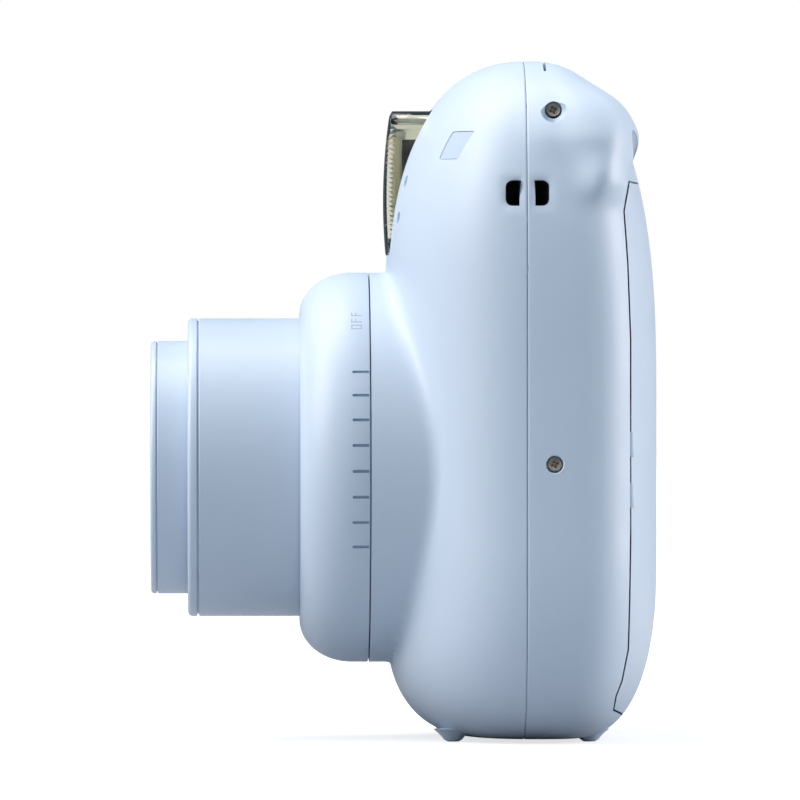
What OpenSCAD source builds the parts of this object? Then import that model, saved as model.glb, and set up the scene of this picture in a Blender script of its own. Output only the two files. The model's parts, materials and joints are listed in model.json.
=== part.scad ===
// Instant camera with a puffed two-part case, a telescoping lens turned out by a dial,
// a hinged film door, and the film drive, flash and viewfinder inside.
// Millimetres. +Z is up, the lens looks along -Y and +X is the viewfinder side.
// The origin lies on the floor under the middle of the whole camera with its lens out.

/* [Case] */
// Width of the case across the grip and the viewfinder side
body_w = 104; // [100:0.5:108]
// Height of the crown above the floor
body_h = 122.4; // [120:0.2:126]
// Depth from the joint of the covers to the front of the case
front_depth = 24.2; // [23.5:0.1:25.5]
// Depth from the joint of the covers to the back of the film door
back_depth = 24.4; // [24:0.1:27]
// Wall of the two covers
case_wall = 2; // [1.8:0.1:2.2]
// Gap at the joint between the two covers
case_gap = 0.2; // [0.1:0.05:0.4]
// Clear height under the case
foot_h = 0.5; // [0.3:0.1:1.2]
// How far the viewfinder corner swells out
hump_rise = 4.4; // [2.5:0.1:5]

/* [Lens] */
// Sideways distance from the middle of the case to the lens axis
lens_x = 7; // [6:0.1:8]
// Height of the lens axis above the floor
lens_z = 49.2; // [48:0.2:50.6]
// Outer radius of the turning dial and its collar
dial_r = 35.3; // [35:0.1:36.5]
// Distance from the case joint to the front of the dial
dial_front = 40.1; // [39.5:0.1:41]
// Distance from the case joint to the back of the dial
dial_back = 27.8; // [27:0.05:28.5]
// Radius of the outer barrel
barrel_r = 27; // [26.5:0.05:27.1]
// Wall of the outer barrel
barrel_wall = 1.4; // [1.3:0.1:1.7]
// Distance from the case joint to the front of the outer barrel when it is out
barrel_front = 60.3; // [60:0.1:61]
// Travel of the outer barrel
barrel_travel = 18.8; // [16:0.1:19]
// Radius of the inner barrel
inner_r = 22.9; // [22:0.05:23.2]
// Distance from the case joint to the front of the inner barrel when it is out
inner_front = 67; // [66:0.1:68]
// Travel of the inner barrel inside the outer one
inner_travel = 6; // [4:0.1:6.2]
// Turn of the dial from lens out to off, in degrees
dial_turn = 42; // [38:1:44]
// Radius of the three cam pins
cam_pin_r = 1; // [0.8:0.05:1.1]
// Running clearance of the sliding and turning lens parts
lens_gap = 0.2; // [0.15:0.05:0.25]

/* [Film] */
// Width of the film pack
pack_w = 61; // [60:0.5:61.5]
// Height of the film pack
pack_h = 90.5; // [89:0.5:91]
// Height of the film pack's foot above the floor
pack_z = 10; // [9.6:0.1:10.4]
// Distance behind the case joint of the exposed film
film_y = 3.2; // [3:0.1:3.6]
// Width of the picture on the film
picture_w = 46; // [44:0.5:47]
// Height of the picture on the film
picture_h = 62; // [60:0.5:62.5]
// Width of one film sheet
sheet_w = 54; // [53:0.1:54.4]
// Radius of each spreading roller
roller_r = 3.9; // [3.7:0.05:3.95]

/* [Door] */
// Distance behind the case joint of the film door's edge
door_y = 17.9; // [17.7:0.1:18.1]
// Distance from the crown down to the film door's top edge
door_drop = 22; // [21.6:0.1:23.4]
// Wall of the film door
door_wall = 1.7; // [1.5:0.1:1.9]
// Gap round the doors
door_gap = 0.35; // [0.25:0.05:0.45]
// Radius of the hinge knuckles
knuckle_r = 0.95; // [0.85:0.05:1.1]
// Radius of the hinge pins
hinge_pin_r = 0.45; // [0.4:0.05:0.5]

/* [Flash and viewfinder] */
// Width of the flash window
flash_w = 36; // [32:0.5:37]
// Height of the flash window
flash_h = 25.7; // [25:0.1:26.4]
// Distance from the crown down to the flash window's upper edge
flash_drop = 8.7; // [8.1:0.1:9.1]
// Sideways place of the middle of the flash window
flash_x = -4; // [-5:0.5:-3]
// Distance from the case joint to the front of the flash window
flash_front = 24.5; // [24.2:0.1:25.4]
// Clear width and height of the viewfinder
finder_w = 5; // [4.6:0.1:5.2]
// Distance from the crown down to the viewfinder's axis
finder_drop = 15.6; // [15.2:0.1:16]

/* [Power] */
// Diameter of each battery cell that the bay takes
cell_d = 14.5; // [14.2:0.1:14.6]
// Length of each battery cell that the bay takes
cell_l = 50.5; // [49.5:0.1:51]

/* [Controls] */
// Radius of the shutter button
button_r = 5; // [4.5:0.1:5.5]
// Travel of the shutter button
button_travel = 1.2; // [0.8:0.1:1.4]
// Travel of the film door's latch
latch_travel = 3; // [2:0.1:3.4]

/* [Hidden] */
$fn = 48;

// ---- Frame ----
// The case joint stands this far behind the origin
joint_y = (inner_front - back_depth) / 2;
module place() { translate([0, joint_y, 0]) children(); }
// Lens frame: +Z runs forward along the lens axis from the case joint, +Y is up
module on_lens_axis() { translate([lens_x, joint_y, lens_z]) rotate([90, 0, 0]) children(); }

// ---- Case shape: a stack of rounded sections, each a superellipse ----
section_points = 40;   // points round one section
section_rings = 30;    // sections from the floor to the crown
front_power = 2.6;     // roundness of the front corners in plan
back_power = 3.3;      // roundness of the back corners in plan
belt_share = 0.6;      // share of the depth at which a section is widest

base_z = foot_h;
crown_z = body_h;
flash_z = crown_z - flash_drop - flash_h;
finder_z = crown_z - finder_drop;
door_top = crown_z - door_drop;

// Distances below the crown where the front, the back and the sides start to close in
front_shoulder = 37.4;
back_shoulder = 59;
side_shoulder = 52.4;

// Quarter of a superellipse: 1 at t = 0, falling to 0 at t = 1
function fall(t, n) = t <= 0 ? 1 : t >= 1 ? 0 : pow(1 - pow(t, n), 1 / n);

// A profile that holds its full reach between two heights and closes in above and below.
// top and bottom are [height where closing starts, reach that is left at the end, roundness].
function profile(z, inset, full, top, bottom) =
    z > top[0]
    ? top[1] + (full - inset - top[1]) * fall((z - top[0]) / (crown_z - inset - top[0]), top[2])
    : z < bottom[0]
    ? bottom[1] + (full - inset - bottom[1]) * fall((bottom[0] - z) / (bottom[0] - base_z - inset), bottom[2])
    : full - inset;

function front_reach(z, inset) =
    profile(z, inset, front_depth, [crown_z - front_shoulder, 2, 2.05], [20.5, 8, 2.3]);
function back_reach(z, inset) =
    profile(z, inset, back_depth, [crown_z - back_shoulder, 1.5, 2.5], [31.5, 10, 2.35]);
function half_width(z, inset) =
    profile(z, inset, body_w / 2, [crown_z - side_shoulder, 16, 3], [36, body_w / 4, 2.4]);
function belt_y(z, inset) =
    belt_share * (front_reach(z, inset) + back_reach(z, inset)) - front_reach(z, inset);

// The viewfinder corner swells out sideways and backwards
hump_mid_z = crown_z - 11.2;
hump_half_h = 6.2;
hump_mid_angle = 42;
hump_half_angle = 37;
hump_dir = [0.62, 0.78];
function hump(z, angle) =
    exp(-pow(abs(z - hump_mid_z) / hump_half_h, 4)
        - pow(abs(angle - hump_mid_angle) / hump_half_angle, 4));

function signed_power(v, p) = sign(v) * pow(abs(v), p);
function section_point(z, angle, inset) =
    let (
        back = sin(angle) >= 0,
        power = 2 / (back ? back_power : front_power),
        mid = belt_y(z, inset),
        reach = back ? back_reach(z, inset) - mid : front_reach(z, inset) + mid,
        swell = hump_rise * hump(z, angle > 180 ? angle - 360 : angle)
    )
    [half_width(z, inset) * signed_power(cos(angle), power) + swell * hump_dir[0],
     mid + reach * signed_power(sin(angle), power) + swell * hump_dir[1],
     z];

// Heights of the sections, closer together towards the floor and the crown
function section_z(k, rings, inset) =
    base_z + inset + (crown_z - base_z - 2 * inset) * (1 - cos(180 * k / rings)) / 2;

// Half width of the case at a given depth, and its front at a given x, away from the hump
function side_x(y, z, inset = 0) =
    let (mid = belt_y(z, inset), back = y > mid)
    half_width(z, inset) * (back
        ? fall((y - mid) / (back_reach(z, inset) - mid), back_power)
        : fall((mid - y) / (front_reach(z, inset) + mid), front_power));
function front_y(x, z, inset = 0) =
    let (mid = belt_y(z, inset))
    mid - (front_reach(z, inset) + mid) * fall(abs(x) / half_width(z, inset), front_power);

// The whole case as one closed solid, drawn in by inset all over
module case_solid(inset = 0, points = section_points, rings = section_rings) {
    grid = [for (k = [0:rings]) for (i = [0:points - 1])
        section_point(section_z(k, rings, inset), 360 * i / points, inset)];
    sides = [for (k = [0:rings - 1]) for (i = [0:points - 1])
        let (a = k * points + i, b = k * points + (i + 1) % points)
        each [[a, a + points, b + points], [a, b + points, b]]];
    floor_face = [[for (i = [0:points - 1]) i]];
    crown_face = [[for (i = [points - 1:-1:0]) rings * points + i]];
    polyhedron(points = grid, faces = concat(sides, floor_face, crown_face), convexity = 4);
}

// ---- Small shapes used in several places ----
eps = 0.01;
module tube(r_out, r_in, low, high) {
    difference() {
        translate([0, 0, low]) cylinder(r = r_out, h = high - low);
        translate([0, 0, low - 1]) cylinder(r = r_in, h = high - low + 2);
    }
}
// A box given by its two corners
module box(a, b) { translate(a) cube([b[0] - a[0], b[1] - a[1], b[2] - a[2]]); }
// A flat slot with round ends, along X, centred
module slot_shape(length, width) {
    square([length - width, width], center = true);
    for (s = [-1, 1]) translate([s * (length - width) / 2, 0]) circle(d = width);
}
// A rounded rectangle, centred, built from exact arcs
module round_rect(w, h, r) {
    square([w - 2 * r, h], center = true);
    square([w, h - 2 * r], center = true);
    for (x = [-1, 1]) for (y = [-1, 1]) translate([x * (w / 2 - r), y * (h / 2 - r)]) circle(r = r);
}
// Wire wound as a spring along +Z
module coil_spring(r, wire, height, turns) {
    sides = 6;
    steps = turns * 10;
    rise = height - 2 * wire;
    spine = [for (k = [0:steps]) [r * cos(36 * k), r * sin(36 * k), wire + rise * k / steps]];
    ring = [for (k = [0:steps]) for (i = [0:sides - 1])
        let (a = 360 * i / sides, rr = r + wire * cos(a))
        [rr * cos(36 * k), rr * sin(36 * k), spine[k][2] + wire * sin(a)]];
    walls = [for (k = [0:steps - 1]) for (i = [0:sides - 1])
        let (a = k * sides + i, b = k * sides + (i + 1) % sides)
        each [[a, a + sides, b + sides], [a, b + sides, b]]];
    caps = [[for (i = [0:sides - 1]) i], [for (i = [sides - 1:-1:0]) steps * sides + i]];
    polyhedron(points = ring, faces = concat(walls, caps), convexity = 8);
}

// ---- Gears: one module, teeth phased so that every pair is in mesh ----
roller_teeth = 16;
idler_teeth = 22;
reduction_big = 32;
reduction_small = 10;
pinion_teeth = 10;
roller_gap = 0.1;
gear_module = (2 * roller_r + roller_gap) / roller_teeth;
function pitch_r(n) = gear_module * n / 2;
function mesh_phase(phase_a, na, nb, direction) =
    direction + 180 + (direction - phase_a) * na / nb + 180 / nb;
module gear_shape(n, phase) {
    play = 7 / n;
    rp = pitch_r(n);
    tip = rp + 0.9 * gear_module;
    root = rp - 1.15 * gear_module;
    rotate(phase) polygon([for (k = [0:n - 1]) let (a = 360 * k / n) each [
        [root * cos(a - 135 / n), root * sin(a - 135 / n)],
        [rp * cos(a - 90 / n + play), rp * sin(a - 90 / n + play)],
        [tip * cos(a - 40 / n), tip * sin(a - 40 / n)],
        [tip * cos(a + 40 / n), tip * sin(a + 40 / n)],
        [rp * cos(a + 90 / n - play), rp * sin(a + 90 / n - play)],
        [root * cos(a + 135 / n), root * sin(a + 135 / n)]]]);
}
// Axle frame: local +Z runs along +X, local X is +Y and local Y is +Z
module on_axle(y, z, x = 0) { translate([x, y, z]) rotate([90, 0, 90]) children(); }

// ---- Lens mount: radii from the barrel outwards, distances forward of the case joint ----
dial_wall = 1.6;
dial_lip = dial_front - dial_wall;                // underside of the dial's front lip
dial_round_r = dial_r - barrel_r - 0.7;            // roundness of the dial's front edge
dial_round_z = dial_front - dial_back - 2.9;
guide_in = barrel_r + lens_gap;
guide_out = guide_in + 1.3;
sleeve_in = guide_out + lens_gap;
sleeve_out = sleeve_in + 1.5;
collar_wall = 2;
seam_gap = 0.3;
guide_front = dial_lip - 0.3;
pin_out = guide_front - cam_pin_r - 0.7;          // cam pins with the lens out
pin_in = pin_out - barrel_travel;                 // cam pins with the lens in
guide_flange = pin_in - 4.7;                      // back of the guide tube's flange
guide_back = guide_flange + 1.5;
guide_flange_r = guide_out + 3.6;
barrel_back = pin_out - 6.5;
bezel_len = 2;
outer_seam = barrel_front - bezel_len;            // barrel's joint with its front ring
inner_seam = inner_front - 1.25;
inner_back = outer_seam - 8.3;
inner_wall = 1.2;
key_w = 3;

// ---- Film path ----
side_gap = 0.4;
chamber_wall = 1.3;
chamber_x0 = lens_x - pack_w / 2 - side_gap - chamber_wall;
chamber_x1 = lens_x + pack_w / 2 + side_gap + chamber_wall;
plate_t = 1.8;
plate_y = film_y - plate_t;
chamber_back = door_y - 1.5;
chamber_z0 = pack_z - side_gap - chamber_wall;
chamber_z1 = pack_z + pack_h;
film_mid = film_y + 0.4;
roller_z = chamber_z1 + roller_r + 1.6;
roller_front_y = film_mid - roller_r - roller_gap / 2;
roller_rear_y = film_mid + roller_r + roller_gap / 2;
roll_x0 = lens_x - sheet_w / 2 - 0.6;
roll_x1 = lens_x + sheet_w / 2 + 0.6;
cheek_t = 1;
cheek_gap = 0.3;
finder_wall = 0.7;
finder_gap = 0.3;
// the viewfinder runs past the end of the rollers
finder_x = roll_x1 + cheek_gap + cheek_t + finder_gap + finder_wall + finder_w / 2;
frame_top = roller_z + 4.4;
shaft_r = 1;
bearing_gap = 0.05;

// ---- Gear train, on the grip side of the film chamber ----
gear_w = 2.8;
layer_1 = chamber_x0 - 0.4 - gear_w;              // roller gears, idler, small reduction wheel
layer_2 = layer_1 - 0.4 - gear_w;                 // big reduction wheel and motor pinion
idler_z = roller_z - pitch_r(roller_teeth) - pitch_r(idler_teeth);
reduction_z = idler_z - pitch_r(idler_teeth) - pitch_r(reduction_small);
motor_angle = -30;
motor_arm = pitch_r(reduction_big) + pitch_r(pinion_teeth);
motor_y = roller_front_y + motor_arm * cos(motor_angle);
motor_z = reduction_z + motor_arm * sin(motor_angle);
motor_r = 6;
motor_x0 = chamber_x0 - 19.8;
motor_x1 = layer_2 - 0.6;
axle_r = 0.9;
front_phase = 0;
rear_phase = mesh_phase(front_phase, roller_teeth, roller_teeth, 0);
idler_phase = mesh_phase(front_phase, roller_teeth, idler_teeth, -90);
small_phase = mesh_phase(idler_phase, idler_teeth, reduction_small, -90);
pinion_phase = mesh_phase(small_phase, reduction_big, pinion_teeth, motor_angle);

// ---- Battery bay ----
cell_gap = 0.2;
bay_wall = 1.2;
bay_mid = -0.3;
bay_x1 = chamber_x0 - 0.3;
bay_x0 = bay_x1 - 13.1;
bay_y0 = bay_mid - cell_d - cell_gap;
bay_y1 = bay_mid + cell_d + cell_gap;
bay_z0 = 17.2;
bay_z1 = bay_z0 + cell_l + 4.3;

// ---- Doors ----
hinge_y = door_y + 0.4;
hinge_x = side_x(hinge_y, 50) - knuckle_r - 0.25;
flap_y = bay_y1 + 0.2;
flap_x = -(side_x(flap_y, 50) - knuckle_r - 0.1);
flap_edge_x = -side_x(bay_y0, 50) + 0.3;
hinge_relief = knuckle_r + 0.4;
cover_knuckles = [[38, 42], [47, 51], [56, 60]];
leaf_knuckles = [[42.3, 46.7], [51.3, 55.7]];

// Outline of the film door seen from the side, moved in by g
function door_outline(g) = concat(
    [for (p = [[0.2, door_top - g], [-0.7, door_top - 5.4], [-0.1, door_top - 14.4], [0.4, 72], [0.4, 37], [0.1, 17],
               [-0.9, 11.4], [-1.9, 8.6], [-2.2, 5.9 + g], [-0.4, 4.9 + g], [-0.1, 3.6 + g]])
        [door_y + p[0] + g, p[1]]],
    [[60, 3.6 + g], [60, door_top - g]]);
module door_region(g) {
    rotate([90, 0, 90]) translate([0, 0, -80]) linear_extrude(160) polygon(door_outline(g));
}
module flap_region(g) {
    translate([-80, (bay_y0 + bay_y1) / 2, (bay_z0 + bay_z1) / 2]) rotate([90, 0, 90])
        linear_extrude(50) round_rect(bay_y1 - bay_y0 + 0.4 - 2 * g, bay_z1 - bay_z0 + 0.4 - 2 * g, 3);
}
module knuckles(x, y, spans, r) {
    for (s = spans) translate([x, y, s[0]]) cylinder(r = r, h = s[1] - s[0]);
}
module pin_hole(x, y) {
    translate([x, y, 30]) cylinder(r = hinge_pin_r + 0.04, h = 38);
}

// ---- Film exit: opening in the crown, fit of the lips in it, slit left for the film ----
exit_w = sheet_w + 3;
exit_h = 2.4;
exit_fit = 0.15;
exit_slit = 0.6;

// ---- Eyepiece ----
eyepiece_y = back_depth - 9.9;
eyepiece_r = 4;

// ---- Case screws: [side, height] ----
screw_top = crown_z - 9.4;
screw_spots = [[1, screw_top], [1, 50], [-1, screw_top], [-1, base_z + 10]];
screw_y = 4.8;
screw_r = 1;
head_r = 1.3;
function screw_x(z) = side_x(screw_y, z) + (z == screw_top ? 0.4 : 0);
// Screw frame: +Z points out of the case at the skin
module on_screw(s) {
    translate([s[0] * screw_x(s[1]), screw_y, s[1]]) rotate([0, s[0] * 90, 0]) children();
}

// ---- Strap lugs ----
lug_z = crown_z - 24.3;
lug_bar_r = 1.4;
lug_hole = 2.5;
lug_h = 4.55;
module lug_channel() {
    r = 1.2;
    far = lug_bar_r + lug_hole;
    rotate_extrude() {
        translate([lug_bar_r, -lug_h / 2]) square([lug_hole - r, lug_h]);
        translate([lug_bar_r, -lug_h / 2 + r]) square([lug_hole, lug_h - 2 * r]);
        for (s = [-1, 1]) translate([far - r, s * (lug_h / 2 - r)]) circle(r = r);
    }
}
module at_lugs() {
    for (s = [-1, 1]) translate([s * side_x(0, lug_z), 0, lug_z]) children();
}

// ---- Shutter button frame: +Z points out of the case ----
button_x = 16 - body_w / 2;
button_z = crown_z - 39.4;
button_tilt = 25;
module on_button() {
    translate([button_x, front_y(button_x, button_z), button_z])
        rotate([0, 0, -button_tilt]) rotate([90, 0, 0]) children();
}

// ---- Flash window: the clear block standing out of the top of the front ----
flash_wall = 1.2;
flash_back = 14.5;
flash_bow = 110;
sensor_x = flash_x + flash_w / 2 + 7.5;
sensor_heights = [flash_z + 6, flash_z + 12.5];
sensor_r = 2;
module flash_block(g) {
    intersection() {
        translate([flash_x, 0, flash_z + flash_h / 2]) rotate([90, 0, 0])
            linear_extrude(40) round_rect(flash_w - 2 * g, flash_h - 2 * g, 3 - g);
        translate([flash_x - 30, flash_bow - flash_front, flash_z + 10]) rotate([0, 90, 0])
            cylinder(r = flash_bow - g, h = 60, $fn = 160);
    }
}

// ---- Case ----
// Distance from the lens axis out to the case's skin at a depth, found by halving
function skin_radius(turn, y, low = 0, high = 90, tries = 18) =
    let (
        r = (low + high) / 2,
        x = lens_x + r * sin(turn),
        z = lens_z + r * cos(turn),
        inside = z > base_z && z < crown_z && abs(x) < side_x(y, z)
    )
    tries == 0 ? r
    : inside ? skin_radius(turn, y, r, high, tries - 1)
    : skin_radius(turn, y, low, r, tries - 1);
function soft_max(a, b, width) = max(a, b) + pow(max(width - abs(a - b), 0), 2) / (4 * width);

// The hollow sweep of the front into the collar: tight above and below, wide at the sides
blend_tight = 2.4;
blend_wide = 4.6;
blend_sink = 0.12;     // keeps it just under the skin where it has run out
module collar_blend() {
    steps = 60;
    depths = [9, 12, 14.5, 16.5, 18, 19.5, 20.8, 22, 23, 23.8, 24.6, dial_back - seam_gap - 1.2];
    rings = [for (f = depths) for (i = [0:steps - 1])
        let (
            turn = 360 * i / steps,
            width = blend_tight + (blend_wide - blend_tight) * pow(abs(sin(turn)), 1.5),
            r = soft_max(dial_r - blend_sink / 2, skin_radius(turn, -f) - blend_sink, width)
        )
        [r * sin(turn), r * cos(turn), f]];
    sides = [for (k = [0:len(depths) - 2]) for (i = [0:steps - 1])
        let (a = k * steps + i, b = k * steps + (i + 1) % steps)
        each [[a, b + steps, a + steps], [a, b, b + steps]]];
    caps = [[for (i = [steps - 1:-1:0]) i], [for (i = [0:steps - 1]) (len(depths) - 1) * steps + i]];
    translate([lens_x, 0, lens_z]) rotate([90, 0, 0])
        polyhedron(points = rings, faces = concat(sides, caps), convexity = 4);
}
module shell_blank(wall) {
    difference() {
        case_solid(0);
        case_solid(wall, 32, 20);
    }
}
foot_x = body_w / 2 - 28;
foot_front_y = 11.6 - front_depth;
foot_rear_y = back_depth - 12.5;
module foot(x, y) { translate([x, y, 0]) cylinder(r1 = 1.7, r2 = 3.2, h = base_z + 2.1); }

module front_cover() {
    color("lightsteelblue") place() difference() {
        union() {
            difference() {
                union() {
                    case_solid(0);
                    translate([lens_x, 0, lens_z]) rotate([90, 0, 0])
                        translate([0, 0, 6]) cylinder(r = dial_r, h = dial_back - seam_gap - 6);
                    collar_blend();
                }
                case_solid(case_wall, 32, 20);
                translate([-200, -case_gap / 2, -10]) cube([400, 200, 200]);
                translate([lens_x, 0, lens_z]) rotate([90, 0, 0])
                    cylinder(r = dial_r - collar_wall, h = dial_back - seam_gap - 1.6);
            }
            for (x = [-foot_x, foot_x]) foot(x, foot_front_y);
            intersection() {
                front_cover_inside();
                case_solid(1, 32, 20);
            }
            // tongues that the case screws bite into
            intersection() {
                for (s = screw_spots) on_screw(s) box([-2.6, -13, -7.2], [2.6, 2.9, -4.7]);
                case_solid(case_wall + 0.4, 32, 20);
            }
        }
        translate([lens_x, 0, lens_z]) rotate([90, 0, 0])
            cylinder(r = sleeve_out + 0.4, h = dial_back + 1);
        // openings for the flash, button, finder and sensor
        translate([flash_x, -flash_back + 3, flash_z + flash_h / 2]) rotate([90, 0, 0])
            linear_extrude(40) round_rect(flash_w + 0.6, flash_h + 0.6, 3.3);
        on_button() translate([0, 0, -4]) cylinder(r = button_r + 0.25, h = 12);
        finder_box(finder_w / 2, -front_depth - 6, -2);
        for (z = sensor_heights) translate([sensor_x, -10, z]) rotate([90, 0, 0])
            cylinder(r = sensor_r + 0.2, h = 20);
        at_lugs() lug_channel();
        flap_region(0);
        for (s = screw_spots) on_screw(s) translate([0, 0, -9]) cylinder(r = screw_r + 0.02, h = 6);
    }
}
module front_cover_inside() {
    // roots of the screw tongues
    for (s = screw_spots) on_screw(s) box([-2.6, -13, -7.2], [2.6, -4.9, -1.4]);
    // ledges beside the flash window that carry the reflector plate
    for (x = [flash_x - flash_w / 2 - 2.9, flash_x + flash_w / 2 + 0.4])
        box([x, -flash_back - 4.1, flash_z + 4], [x + 2.5, 0.2 - flash_back, flash_z + 20]);
    // sleeve round the shutter button
    on_button() tube(button_r + 1.5, button_r + 0.25, -3, -1.2);
    // bosses behind the strap lugs
    intersection() {
        at_lugs() box([-5.4, -5, -4], [5.4, -case_gap / 2, 4]);
        union() for (s = [-1, 1]) translate([s * (side_x(0, lug_z) - 3.3), 0, lug_z])
            cube([5, 12, 9], center = true);
    }
}

module rear_cover() {
    color("lightsteelblue") place() difference() {
        union() {
            difference() {
                shell_blank(case_wall);
                translate([-200, case_gap / 2 - 200, -10]) cube([400, 200, 200]);
                door_region(0);
                // room for the door's edge as it swings
                translate([hinge_x, hinge_y, 20]) cylinder(r = hinge_relief + 0.1, h = door_top - 19.6);
            }
            for (x = [-foot_x, foot_x]) foot(x, foot_rear_y);
            rear_cover_inside();
            knuckles(hinge_x, hinge_y, cover_knuckles, knuckle_r);
            for (s = cover_knuckles)
                box([hinge_x - 0.85, hinge_y - 2.4, s[0]], [hinge_x + 0.55, hinge_y, s[1]]);
        }
        pin_hole(hinge_x, hinge_y);
        flap_region(0);
        translate([flap_x, flap_y, bay_z0 - 0.6]) cylinder(r = hinge_relief, h = bay_z1 - bay_z0 + 1.2);
        // film exit in the crown
        translate([lens_x, film_mid, frame_top + 1.6]) linear_extrude(20) slot_shape(exit_w, exit_h);
        // eyepiece
        translate([finder_x, eyepiece_y - 3.8, finder_z]) rotate([-90, 0, 0])
            cylinder(r = eyepiece_r + 0.2, h = 14);
        at_lugs() lug_channel();
        for (s = screw_spots) on_screw(s) {
            translate([0, 0, -1.7]) cylinder(r = 1.6, h = 8);
            translate([0, 0, -9]) cylinder(r = screw_r + 0.15, h = 10);
        }
    }
    color("lightsteelblue") place() difference() {
        union() {
            knuckles(flap_x, flap_y, cover_knuckles, knuckle_r);
            for (s = cover_knuckles)
                box([flap_x - 0.55, flap_y, s[0]], [flap_x + 0.85, flap_y + 2.2, s[1]]);
        }
        pin_hole(flap_x, flap_y);
    }
}
module rear_cover_inside() {
    for (s = screw_spots) on_screw(s) translate([0, 0, -4.5]) cylinder(r = 2.6, h = 3.4);
    intersection() {
        at_lugs() box([-5.4, case_gap / 2, -4], [5.4, 5, 4]);
        union() for (s = [-1, 1]) translate([s * (side_x(0, lug_z) - 3.3), 0, lug_z])
            cube([5, 12, 9], center = true);
    }
}

module case_screws() {
    color("silver") place() for (s = screw_spots) on_screw(s) {
        translate([0, 0, -1.7]) cylinder(r = head_r, h = 0.9);
        translate([0, 0, -8]) cylinder(r = screw_r, h = 6.6);
    }
}

module door_hinge_pins() {
    color("silver") place() {
        translate([hinge_x, hinge_y, cover_knuckles[0][0]]) cylinder(r = hinge_pin_r, h = 22);
        translate([flap_x, flap_y, cover_knuckles[0][0]]) cylinder(r = hinge_pin_r, h = 22);
    }
}

// ---- Film door ----
latch_y = 20.6;
latch_z = 46;
latch_h = 12;
hook_x = 12.5 - body_w / 2;
window_x = lens_x + 4;
window_z = pack_z + 42;
counter_x = bay_x0 + 4.6;
counter_z = 30;
function back_y(x, z, inset = 0) =
    let (mid = belt_y(z, inset))
    mid + (back_reach(z, inset) - mid) * fall(abs(x) / half_width(z, inset), back_power);

module back_door() {
    color("lightsteelblue") place() difference() {
        union() {
            difference() {
                intersection() {
                    shell_blank(door_wall);
                    door_region(door_gap);
                }
                knuckles(hinge_x, hinge_y, [for (s = cover_knuckles) [s[0] - 0.3, s[1] + 0.3]],
                         knuckle_r + 0.3);
            }
            knuckles(hinge_x, hinge_y, leaf_knuckles, knuckle_r);
            for (s = leaf_knuckles)
                box([hinge_x - 2.6, hinge_y + 0.1, s[0]], [hinge_x, hinge_y + knuckle_r, s[1]]);
            // shelf under the latch spring
            box([hook_x - 2.6, 16.3, latch_z - 3.9], [hook_x + 1.6, 19.4, latch_z - 2.6]);
        }
        pin_hole(hinge_x, hinge_y);
        // latch slot, film window and counter window
        box([-body_w / 2 - 8, latch_y - 1.6, latch_z - latch_travel - 0.3], [hook_x + 4.5, latch_y + 1.6, latch_z + latch_h + 0.3]);
        translate([window_x, 15, window_z]) rotate([-90, 0, 0]) linear_extrude(20) round_rect(9, 30, 2);
        translate([counter_x + 4.2, 15, counter_z]) rotate([-90, 0, 0]) linear_extrude(20)
            round_rect(4.6, 3.6, 0.8);
    }
}
module film_check_window() {
    color("dimgray") place() translate([window_x, back_depth - door_wall, window_z]) rotate([-90, 0, 0])
        linear_extrude(door_wall - 0.7) round_rect(8.7, 29.7, 1.9);
}
module counter_window() {
    y = back_y(counter_x + 6.6, counter_z, door_wall);
    color("gainsboro") place() translate([counter_x + 4.2, y - 0.5, counter_z]) rotate([-90, 0, 0])
        linear_extrude(0.9) round_rect(4.3, 3.3, 0.7);
}
module counter_disc() {
    color("white") place() translate([counter_x, bay_y1 + bay_wall + 0.8, counter_z]) rotate([-90, 0, 0])
        difference() {
            union() {
                cylinder(r = 6.5, h = 0.9);
                translate([0, 0, -0.5]) cylinder(r = 2, h = 1);
                for (a = [0:30:330]) rotate(a) translate([6.2, -0.4, 0]) cube([0.7, 0.8, 0.9]);
            }
            translate([0, 0, -2]) cylinder(r = 1.2 + bearing_gap, h = 5);
        }
}
// Bowed leaf springs that press the film pack forward
pack_spring_w = 8;
pack_spring_h = 30;
pack_spring_bow = 52.4;
pack_spring_z = pack_z + 40;
module pack_springs() {
    color("silver") place() for (side = [-1, 1]) {
        x = lens_x + 3 + side * 20;
        y = back_y(x + side * pack_spring_w / 2, pack_spring_z, door_wall) - 0.15;
        translate([x - pack_spring_w / 2, 0, 0]) rotate([90, 0, 90]) linear_extrude(pack_spring_w)
            intersection() {
                translate([y - pack_spring_bow, pack_spring_z]) difference() {
                    circle(r = pack_spring_bow, $fn = 200);
                    circle(r = pack_spring_bow - 0.3, $fn = 200);
                }
                translate([y - 2.4, pack_spring_z - pack_spring_h / 2]) square([4, pack_spring_h]);
            }
    }
}
module door_latch() {
    color("lightsteelblue") place() {
        intersection() {
            difference() { case_solid(-0.5, 32, 20); case_solid(door_wall + 0.9, 32, 20); }
            box([-body_w / 2 - 8, latch_y - 1.3, latch_z], [hook_x + 4.5, latch_y + 1.3, latch_z + latch_h]);
        }
        box([hook_x, 16, latch_z + 4], [hook_x + 1.4, latch_y - 0.4, latch_z + 8]);
    }
}
module latch_spring() {
    color("silver") place() translate([hook_x + 0.7, 17.3, latch_z - 2.5]) coil_spring(0.8, 0.18, 6.4, 6);
}

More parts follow.
